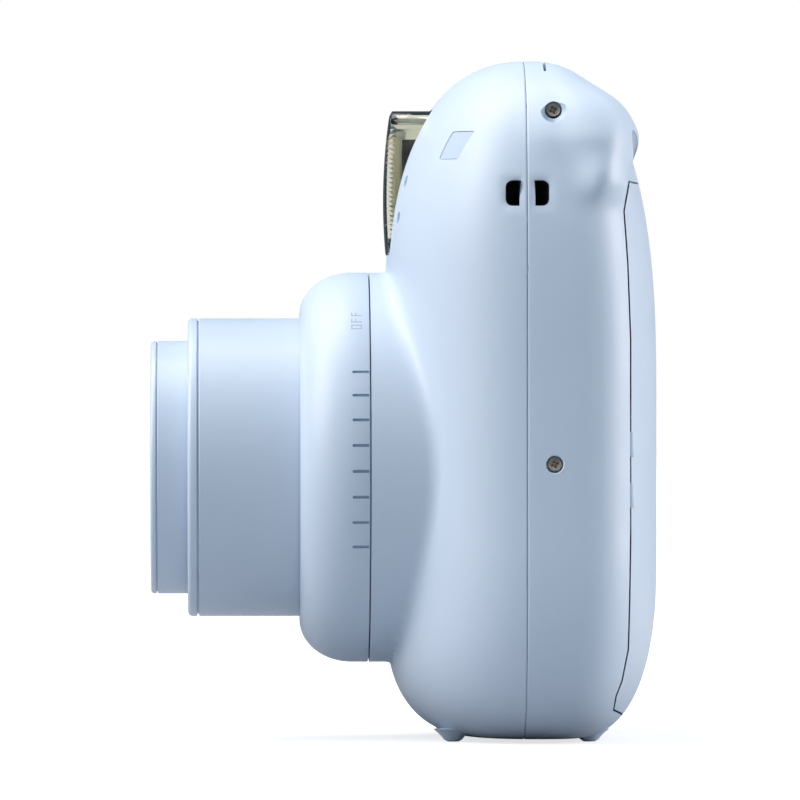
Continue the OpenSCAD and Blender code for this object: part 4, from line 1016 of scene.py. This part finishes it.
class PART_OT_dial(bpy.types.Operator):
    """Turns the dial, cuts its index marks as grooves and fills them with painted shade"""
    bl_idname = "part.dial"
    bl_label = "Dial"

    def execute(self, context):
        outer, barrel = lens().dial_radius / MM, lens().barrel_radius / MM
        front, back = lens().dial_front / MM, lens().dial_back / MM
        profile = [(barrel + 0.35, front - 0.25), (barrel + 0.55, front)]
        profile += arc(outer - 7.6, front - 9.4, 7.6, 9.4, 88, 0, 28)
        profile += [(outer, back + 0.12), (outer - 0.06, back - 0.04), (outer - 0.2, back - 0.1),
                    (outer - 1.6, back - 0.1)]
        profile += arc(outer - 7.6, front - 9.4, 6.0, 7.8, 0, 50, 8)
        profile += [(30.2, front - 2.2), (30.2, 14.8), (28.7, 14.8), (28.7, front - 1.6),
                    (barrel + 0.35, front - 1.6)]
        dial = lens_ring("dial", profile)
        tools, shade_fills = [], []
        first, pitch, count = 60.8, 7.5, 8
        for turn in (first + pitch * index for index in range(count)):
            low, high = (outer - 0.32, outer - 0.5), (outer + 1, outer - 0.24)
            tools.append(self.tick("tick_tool", turn, low[0], high[0], 0.56, back + 0.1, back + 3.1))
            # each fill sits in its groove and paints the groove's shade in a dark colour
            shade_fills.append(self.tick("tick", turn, low[1], high[1], 0.6, back + 0.12, back + 3.05))
        combine(dial, tools)
        smooth(dial, 30)
        hand_over(dial, "lens_dial", "shell_blue", FINISH["shell"], "lens_dial")
        groove_shade = join(shade_fills, "dial_groove_shade")
        hand_over(groove_shade, "lens_dial", "shell_blue", FINISH["groove_shade_fill"])
        off = join(self.letters(outer), "dial_off_mark")
        hand_over(off, "lens_dial", "shell_blue", FINISH["print"])
        return {"FINISHED"}

    def letters(self, outer):
        """The word OFF in plain strokes: (left, right, low, high) from each letter's middle."""
        line, half, low, high = 0.2, 0.55, 29.1, 31.0
        ring = [(-half, -half + line, low, high), (half - line, half, low, high),
                (-half, half, low, low + line), (-half, half, high - line, high)]
        comb = [(-half, -half + line, low, high), (-half, half, high - line, high),
                (-half, half * 0.7, 30.1, 30.1 + line)]
        strokes = []
        for turn, letter in ((44.2, ring), (41.35, comb), (38.5, comb)):
            angle = math.radians(turn)
            spoke = Vector((math.sin(angle), 0, math.cos(angle)))
            up = Vector((-math.cos(angle), 0, math.sin(angle)))
            base = on_lens(outer - 0.3, 0, turn)
            for left, right, back, front in letter:
                corners = ((left, back), (right, back), (right, front), (left, front))
                outline = [base + up * a * MM + Vector((0, -t * MM, 0)) for a, t in corners]
                strokes.append(prism("stroke", outline, spoke * 0.315 * MM))
        return strokes

    def tick(self, name, turn, low, high, width, back, front):
        """A bar across the dial's rim, rounded at its front end."""
        angle = math.radians(turn)
        spoke = Vector((math.sin(angle), 0, math.cos(angle)))
        side = Vector((math.cos(angle), 0, -math.sin(angle)))
        ends = [(-width / 2, back), (width / 2, back)]
        ends += arc(0, front - width / 2, width / 2, width / 2, 0, 180, 6)
        base = on_lens(low, 0, turn)
        outline = [base + side * a * MM + Vector((0, -t * MM, 0)) for a, t in ends]
        return prism(name, outline, spoke * (high - low) * MM)


class PART_OT_barrels(bpy.types.Operator):
    """Turns the outer and inner barrels and their front rings"""
    bl_idname = "part.barrels"
    bl_label = "Barrels"

    def ring(self, name, profile, body, node):
        """Turns one ring of a barrel and hands it over."""
        piece = smooth(lens_ring(name, profile), 30)
        hand_over(piece, body, "shell_blue", FINISH["barrel"], node)

    def execute(self, context):
        outer, front = lens().barrel_radius / MM, lens().barrel_front / MM
        inner, tip = lens().inner_radius / MM, lens().inner_front / MM
        seam = front - 2
        wall = outer - 1.4
        tube = [(outer, seam - 0.12), (outer - 0.12, seam), (wall, seam), (wall, 30), (outer, 30)]
        self.ring("outer_tube", tube, "outer_barrel", "outer_barrel")
        ring = [(inner + 0.25, front - 0.3), (inner + 0.45, front)]
        ring += arc(outer - 0.8, front - 0.8, 0.8, 0.8, 90, 0, 6)
        ring += [(outer, seam + 0.42), (outer - 0.12, seam + 0.3), (outer - 0.45, seam + 0.3),
                 (outer - 0.45, seam), (wall - 0.1, seam), (wall - 0.1, seam - 1.8),
                 (inner + 1, seam - 1.8), (inner + 1, seam), (inner + 0.25, seam + 0.4)]
        self.ring("outer_ring", ring, "outer_barrel", "outer_bezel")

        seam = tip - 1.25
        tube = [(inner, seam - 0.1), (inner - 0.1, seam), (inner - 1.2, seam), (inner - 1.2, 50),
                (25.4, 50), (25.4, 53), (inner, 53)]
        self.ring("inner_tube", tube, "inner_barrel", "inner_barrel")
        ring = [(inner - 3.6, tip - 1.6), (inner - 3.1, tip - 0.2), (inner - 2.8, tip)]
        ring += arc(inner - 0.6, tip - 0.6, 0.6, 0.6, 90, 0, 5)
        ring += [(inner, seam + 0.35), (inner - 0.1, seam + 0.25), (inner - 0.35, seam + 0.25),
                 (inner - 0.35, seam), (inner - 1.25, seam), (inner - 1.25, seam - 0.35)]
        self.ring("inner_ring", ring, "inner_barrel", "inner_bezel")
        return {"FINISHED"}


class PART_OT_lens_face(bpy.types.Operator):
    """Turns the black face round the lens, the lens itself and the small convex mirror"""
    bl_idname = "part.lens_face"
    bl_label = "Lens face"

    def execute(self, context):
        steps = [(8.0, 62.7), (8.0, 63.7), (8.5, 63.75), (8.5, 64.05), (9.1, 64.1), (9.1, 64.4),
                 (9.8, 64.45), (9.8, 64.8), (10.05, 65.03)]
        groove = [(19.6, 65.03), (19.75, 64.85), (19.9, 65.03)]
        edge = [(21.4, 65.03), (21.55, 64.9), (21.55, 62.7)]
        plate = lens_ring("lens_face", steps + groove + edge)
        seat, ahead = place(MIRROR_X, -64.02, MIRROR_Z), place(MIRROR_X, -70, MIRROR_Z)
        combine(plate, [rod("pocket", seat, ahead, 4.1, 64)])
        smooth(plate, 30)
        hand_over(plate, "inner_barrel", "grey_plastic", FINISH["face"], "lens_front_plate")

        dome = [(0, 64.07), (3.95, 64.07), (4.0, 64.2)]
        dome += arc(0, 64.2, 4.0, 0.82, 6, 84, 13) + [(0, 65.03)]
        dome = [(r, -t) for r, t in dome]
        mirror = smooth(turned_at("convex_mirror", MIRROR_X, MIRROR_Z, dome, 64), 30)
        hand_over(mirror, "inner_barrel", "mirror_skin", FINISH["mirror"], "selfie_mirror")

        bulge = [(0, 60.55), (6.2, 60.55), (7.7, 61.2), (7.7, 62.6), (7.35, 63.0)]
        bulge += arc(0, 63.0, 7.35, 1.6, 4, 84, 20) + [(0, 64.6)]
        glass = smooth(lens_ring("lens_element", bulge, 96), 30)
        hand_over(glass, "inner_barrel", "lens_glass", FINISH["glass"], "front_lens")
        return {"FINISHED"}


class PART_OT_latch(bpy.types.Operator):
    """Gives the door latch its grip ridges"""
    bl_idname = "part.latch"
    bl_label = "Door latch"

    def execute(self, context):
        slider = node_copy("door_latch", "latch_slider")
        ridges = [rod("ridge", place(-44.4, 21.85, z), place(-37.2, 21.85, z), 0.4, 16, 0.12)
                  for z in (50.6, 51.9, 53.2, 54.5)]
        slider = smooth(join([slider] + ridges, "latch_slider"), 35)
        hand_over(slider, "door_latch", "shell_blue", FINISH["shell"], "door_latch")
        return {"FINISHED"}


class PART_OT_springs(bpy.types.Operator):
    """Copies the latch and button springs from their CAD nodes, with smooth shading and their finish"""
    bl_idname = "part.springs"
    bl_label = "Springs"

    def execute(self, context):
        rows = (("latch_spring", "latch_coil", "back_door", "door_latch_slide", (0, 0, 1),
                 place(-38.8, 17.3, 43.52), 0.53),
                ("shutter_spring", "button_coil", "camera_body", "shutter_button_press",
                 (0.4226, 0.9063, 0), place(-32.86, -12.85, 83), 0.6))
        for node, name, body, joint, axis, anchor, keep in rows:
            coil = smooth(node_copy(node, name), 40)
            hand_over(coil, body, "steel", FINISH["steel"], node)
            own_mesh(coil)
        return {"FINISHED"}


class PART_OT_screws(bpy.types.Operator):
    """Makes the case screws with their cross recesses"""
    bl_idname = "part.screws"
    bl_label = "Case screws"

    def execute(self, context):
        pieces = []
        for side, z in SCREWS:
            out = Vector((side, 0, 0))
            centre = screw_at(side, z, SCREW_SEAT)
            rim = [(0, 0), (1.3, 0), (1.3, 0.6), (1.25, 0.72), (1.12, 0.8), (0.9, 0.86),
                   (0.5, 0.9), (0, 0.91)]
            well = [(0, 0.35), (0.28, 0.45), (0.42, 0.95), (0, 0.95)]
            head = self.spun("screw_head", centre, out, rim, 48)
            for turn in (20, 110):
                combine(head, [self.slot(centre, out, turn)])
            combine(head, [self.spun("well_tool", centre, out, well, 24)])
            shank = rod("screw_shank", centre, centre - out * 6.3 * MM, 1.0, 32)
            pieces += [head, shank]
        screws = smooth(join(pieces, "cover_screws"), 35)
        hand_over(screws, "camera_body", "steel", FINISH["screw"], "case_screws")
        return {"FINISHED"}

    def spun(self, name, centre, out, profile, steps):
        """A form turned about a screw's axis, from points of (radius, outward)."""
        points = [centre + out * t * MM + Vector((0, 0, r * MM)) for r, t in profile]
        return turned(name, points, centre=centre, axis=(1, 0, 0), steps=steps)

    def slot(self, centre, out, turn):
        """One arm of the cross recess."""
        angle = math.radians(turn)
        across = Vector((0, math.cos(angle), math.sin(angle)))
        deep = across.cross(out)
        pairs = [(-0.8, 1.3), (0.8, 1.3), (0.66, 0.62), (0.3, 0.12), (-0.3, 0.12), (-0.66, 0.62)]
        outline = [centre + out * t * MM + across * w * MM - deep * 0.17 * MM for w, t in pairs]
        return prism("cross_tool", outline, deep * 0.34 * MM)


class PART_OT_flash(bpy.types.Operator):
    """Moulds the bowed flash window with its ribs, and the diffuser and plates seen through it"""
    bl_idname = "part.flash"
    bl_label = "Flash"

    def bow(self, name, points):
        """A bar across the flash whose front follows points of (depth, height)."""
        outline = [place(-24, y, z) for y, z in points]
        return prism(name, outline, Vector((40 * MM, 0, 0)))

    def front_at(self, z):
        """How far forward the bowed window stands at a height."""
        return -24.5 + (z - 98) ** 2 / 220

    def cell(self, name, width, height, radius, depth):
        """A rounded block that runs forward from a depth behind the window."""
        pairs = rounded(width, height, radius, 8)
        outline = [place(FLASH_X + a, depth, FLASH_Z + b) for a, b in pairs]
        return prism(name, outline, Vector((0, -14 * MM, 0)))

    def execute(self, context):
        self.window()
        sheet = block("flash_diffuser", (-20.2, -23.0, 92.6), (12.4, -22.6, 108.9), 0.12)
        flange = block("flange", (12.0, -22.9, 92.6), (12.45, -21.6, 108.9), 0.12)
        diffuser = smooth(join([sheet, flange], "flash_diffuser"), 40)
        hand_over(diffuser, "camera_body", "clear_plastic", FINISH["diffuser"])
        plate = block("reflector_end_plate", (11.62, -21.5, 100.7), (11.95, -15.6, 108.5), 0.1)
        smooth(plate, 40)
        hand_over(plate, "camera_body", "black_plastic", FINISH["violet"])
        edge = block("edge", (12.5, -22.1, 100.4), (12.62, -21.85, 109), 0.03)
        tab = block("tab", (11.9, -22.6, 108.6), (12.35, -20.9, 109.9), 0.12)
        holder = smooth(join([edge, tab], "diffuser_clip"), 40)
        hand_over(holder, "camera_body", "grey_plastic", FINISH["white"])
        self.sensors()
        return {"FINISHED"}

    def window(self):
        """The bowed window, with fine ribs on its inner face."""
        heights = [87.0 + 0.9 * k for k in range(31)]
        face = [(self.front_at(z), z) for z in heights]
        window = self.cell("flash_block", 36, 25.7, 3, -14.5)
        back = [(-10, heights[-1]), (-10, heights[0])]
        combine(window, [self.bow("bow", face + back)], "INTERSECT")
        modifier(window, "BEVEL", width=0.45 * MM, segments=3, limit_method="ANGLE",
                 angle_limit=math.radians(50))
        room = self.cell("room", 33.8, 23.5, 1.9, -13)
        ribs, z = [], 87.2
        while z < 114.5:
            ribs += [(self.front_at(z) + 0.55, z), (self.front_at(z) + 1.45, z + 0.18)]
            z += 0.85
        combine(room, [self.bow("ribs", ribs + [(-5, z), (-5, 87.2)])], "INTERSECT")
        combine(window, [room])
        smooth(window, 30)
        hand_over(window, "camera_body", "clear_plastic", FINISH["clear"], "flash_window")

    def sensors(self):
        """The two sensor windows beside the flash."""
        profile = [(0, 3.4), (2.0, 3.4), (2.0, 1.5), (1.3, 1.45), (1.3, 0.7), (1.15, 0.42),
                   (0.8, 0.26), (0, 0.2)]
        domes = []
        for z in SENSORS:
            dome = [(r, front_y(SENSOR_X, z) + t) for r, t in profile]
            domes.append(turned_at("sensor", SENSOR_X, z, dome, 32))
        domes = smooth(join(domes, "sensor_windows"), 40)
        hand_over(domes, "camera_body", "dark_window", FINISH["pane"], "light_sensor")


class PART_OT_stage(bpy.types.Operator):
    """Lays the pale floor, the soft lamps, the pale surroundings and the camera"""
    bl_idname = "part.stage"
    bl_label = "Stage"

    def lamp(self, name, where, target, size, power, tint):
        """A soft rectangular lamp that points at a target. power is in watts."""
        data = bpy.data.lights.new(name, "AREA")
        data.shape = "RECTANGLE"
        data.size, data.size_y = size
        data.energy = power
        data.color = tint
        item = bpy.data.objects.new(name, data)
        bpy.context.collection.objects.link(item)
        item.location = where
        item.rotation_euler = (Vector(target) - Vector(where)).to_track_quat("-Z", "Y").to_euler()

    def execute(self, context):
        self.floor()
        self.surroundings()
        warm = (1.0, 0.91, 0.84)
        self.lamp("key_above", (-0.05, -0.45, 1.1), (0, 0, 0.08), (0.9, 0.9), 13.2, warm)
        self.lamp("front_left", (0.38, -1.1, 0.72), (0, 0, 0.07), (0.7, 0.7), 12.5, warm)
        self.lamp("rear_fill", (0.0, 1.2, 0.3), (0, 0, 0.07), (0.7, 0.9), 16.5, warm)
        self.camera((1.8, -0.03115, 0.0619), (0.007, -0.00055, 0.0614), 0.1452)
        bpy.context.scene.view_settings.view_transform = "Standard"
        return {"FINISHED"}

    def floor(self):
        """A pale floor which the camera sees as nearly white, with a faint shade by the part."""
        deselect()
        bpy.ops.mesh.primitive_plane_add(size=14, location=(0, 0, 0))
        floor = begin("floor")
        material, tree, shader = new_material("pale_floor")
        tone = two_tone(tree, grain(tree, 3, 2), (0.40, 0.42, 0.45), (0.42, 0.44, 0.47))
        tree.links.new(tone, shader.inputs["Base Color"])
        shader.inputs["Roughness"].default_value = 0.9
        shader.inputs["Specular IOR Level"].default_value = 0.1
        path = add(tree, "ShaderNodeLightPath")
        where = add(tree, "ShaderNodeTexCoord")
        away = add(tree, "ShaderNodeVectorMath", operation="LENGTH")
        tree.links.new(where.outputs["Object"], away.inputs[0])
        fade = ramp(tree, away.outputs["Value"], 0.72, 1.0, 0.1, 0.5)
        glow = add(tree, "ShaderNodeEmission")
        glow.inputs["Color"].default_value = (1, 1, 1, 1)
        tree.links.new(fade, glow.inputs["Strength"])
        both = add(tree, "ShaderNodeAddShader")
        tree.links.new(shader.outputs[0], both.inputs[0])
        tree.links.new(glow.outputs[0], both.inputs[1])
        self.choose(tree, path.outputs["Is Camera Ray"], shader, both, "OUTPUT_MATERIAL")
        floor.data.materials.append(material)

    def surroundings(self):
        """Blue-white light that grows with height, seen by the camera as white."""
        world = bpy.data.worlds.new("studio")
        bpy.context.scene.world = world
        world.use_nodes = True
        tree = world.node_tree
        back = next(n for n in tree.nodes if n.type == "BACKGROUND")
        back.inputs["Color"].default_value = (0.64, 0.84, 1.0, 1)
        where = add(tree, "ShaderNodeTexCoord")
        height = add(tree, "ShaderNodeSeparateXYZ")
        tree.links.new(where.outputs["Generated"], height.inputs[0])
        sky = ramp(tree, height.outputs["Z"], 0.02, 0.55, -0.1, 0.8)
        tree.links.new(sky, back.inputs["Strength"])
        seen = add(tree, "ShaderNodeBackground", Strength=1.0)
        seen.inputs["Color"].default_value = (1, 1, 1, 1)
        path = add(tree, "ShaderNodeLightPath")
        either = add(tree, "ShaderNodeMath", operation="MAXIMUM")
        tree.links.new(path.outputs["Is Camera Ray"], either.inputs[0])
        tree.links.new(path.outputs["Is Transmission Ray"], either.inputs[1])
        self.choose(tree, either.outputs[0], back, seen, "OUTPUT_WORLD")

    def choose(self, tree, source, usual, special, output):
        """Sends one of two shaders to the output: the special one where the source is 1."""
        mix = add(tree, "ShaderNodeMixShader")
        out = next(n for n in tree.nodes if n.type == output)
        tree.links.new(source, mix.inputs[0])
        tree.links.new(usual.outputs[0], mix.inputs[1])
        tree.links.new(special.outputs[0], mix.inputs[2])
        tree.links.new(mix.outputs[0], out.inputs["Surface"])

    def camera(self, where, target, span):
        """A camera at a point, whose lens takes in a span of metres at the target."""
        data = bpy.data.cameras.new("view")
        data.sensor_width = 36
        camera = bpy.data.objects.new("view", data)
        bpy.context.collection.objects.link(camera)
        camera.location = Vector(where)
        ray = Vector(target) - camera.location
        camera.rotation_euler = ray.to_track_quat("-Z", "Y").to_euler()
        data.lens = 36 * ray.length / span
        bpy.context.scene.camera = camera


class PART_PT_panel(bpy.types.Panel):
    """Lists the settings and the steps that make the camera"""
    bl_idname = "PART_PT_panel"
    bl_label = "Camera part"
    bl_space_type = "VIEW_3D"
    bl_region_type = "UI"
    bl_category = "Camera part"

    def draw(self, context):
        for group in ("cover_sizes", "lens_sizes", "finish_colours"):
            settings = getattr(context.scene, group)
            box = self.layout.box()
            for name in settings.bl_rna.properties.keys():
                if name not in ("rna_type", "name"):
                    box.prop(settings, name)
        for step in STEPS:
            self.layout.operator(step.bl_idname)


STEPS = (PART_OT_finishes, PART_OT_covers, PART_OT_dial, PART_OT_barrels, PART_OT_lens_face,
         PART_OT_latch, PART_OT_springs, PART_OT_screws, PART_OT_flash, PART_OT_stage)
GROUPS = {"cover_sizes": CoverSettings, "lens_sizes": LensSettings, "finish_colours": FinishSettings}


def register():
    for group in GROUPS.values():
        bpy.utils.register_class(group)
    for name, group in GROUPS.items():
        setattr(bpy.types.Scene, name, PointerProperty(type=group))
    for step in STEPS + (PART_PT_panel,):
        bpy.utils.register_class(step)


def unregister():
    for step in reversed(STEPS + (PART_PT_panel,)):
        bpy.utils.unregister_class(step)
    for name in GROUPS:
        delattr(bpy.types.Scene, name)
    for group in GROUPS.values():
        bpy.utils.unregister_class(group)


def main():
    register()
    bpy.ops.part.finishes()
    bpy.ops.part.covers()
    bpy.ops.part.dial()
    bpy.ops.part.barrels()
    bpy.ops.part.lens_face()
    bpy.ops.part.latch()
    bpy.ops.part.springs()
    bpy.ops.part.screws()
    bpy.ops.part.flash()
    bpy.ops.part.stage()


if __name__ == "__main__":
    main()
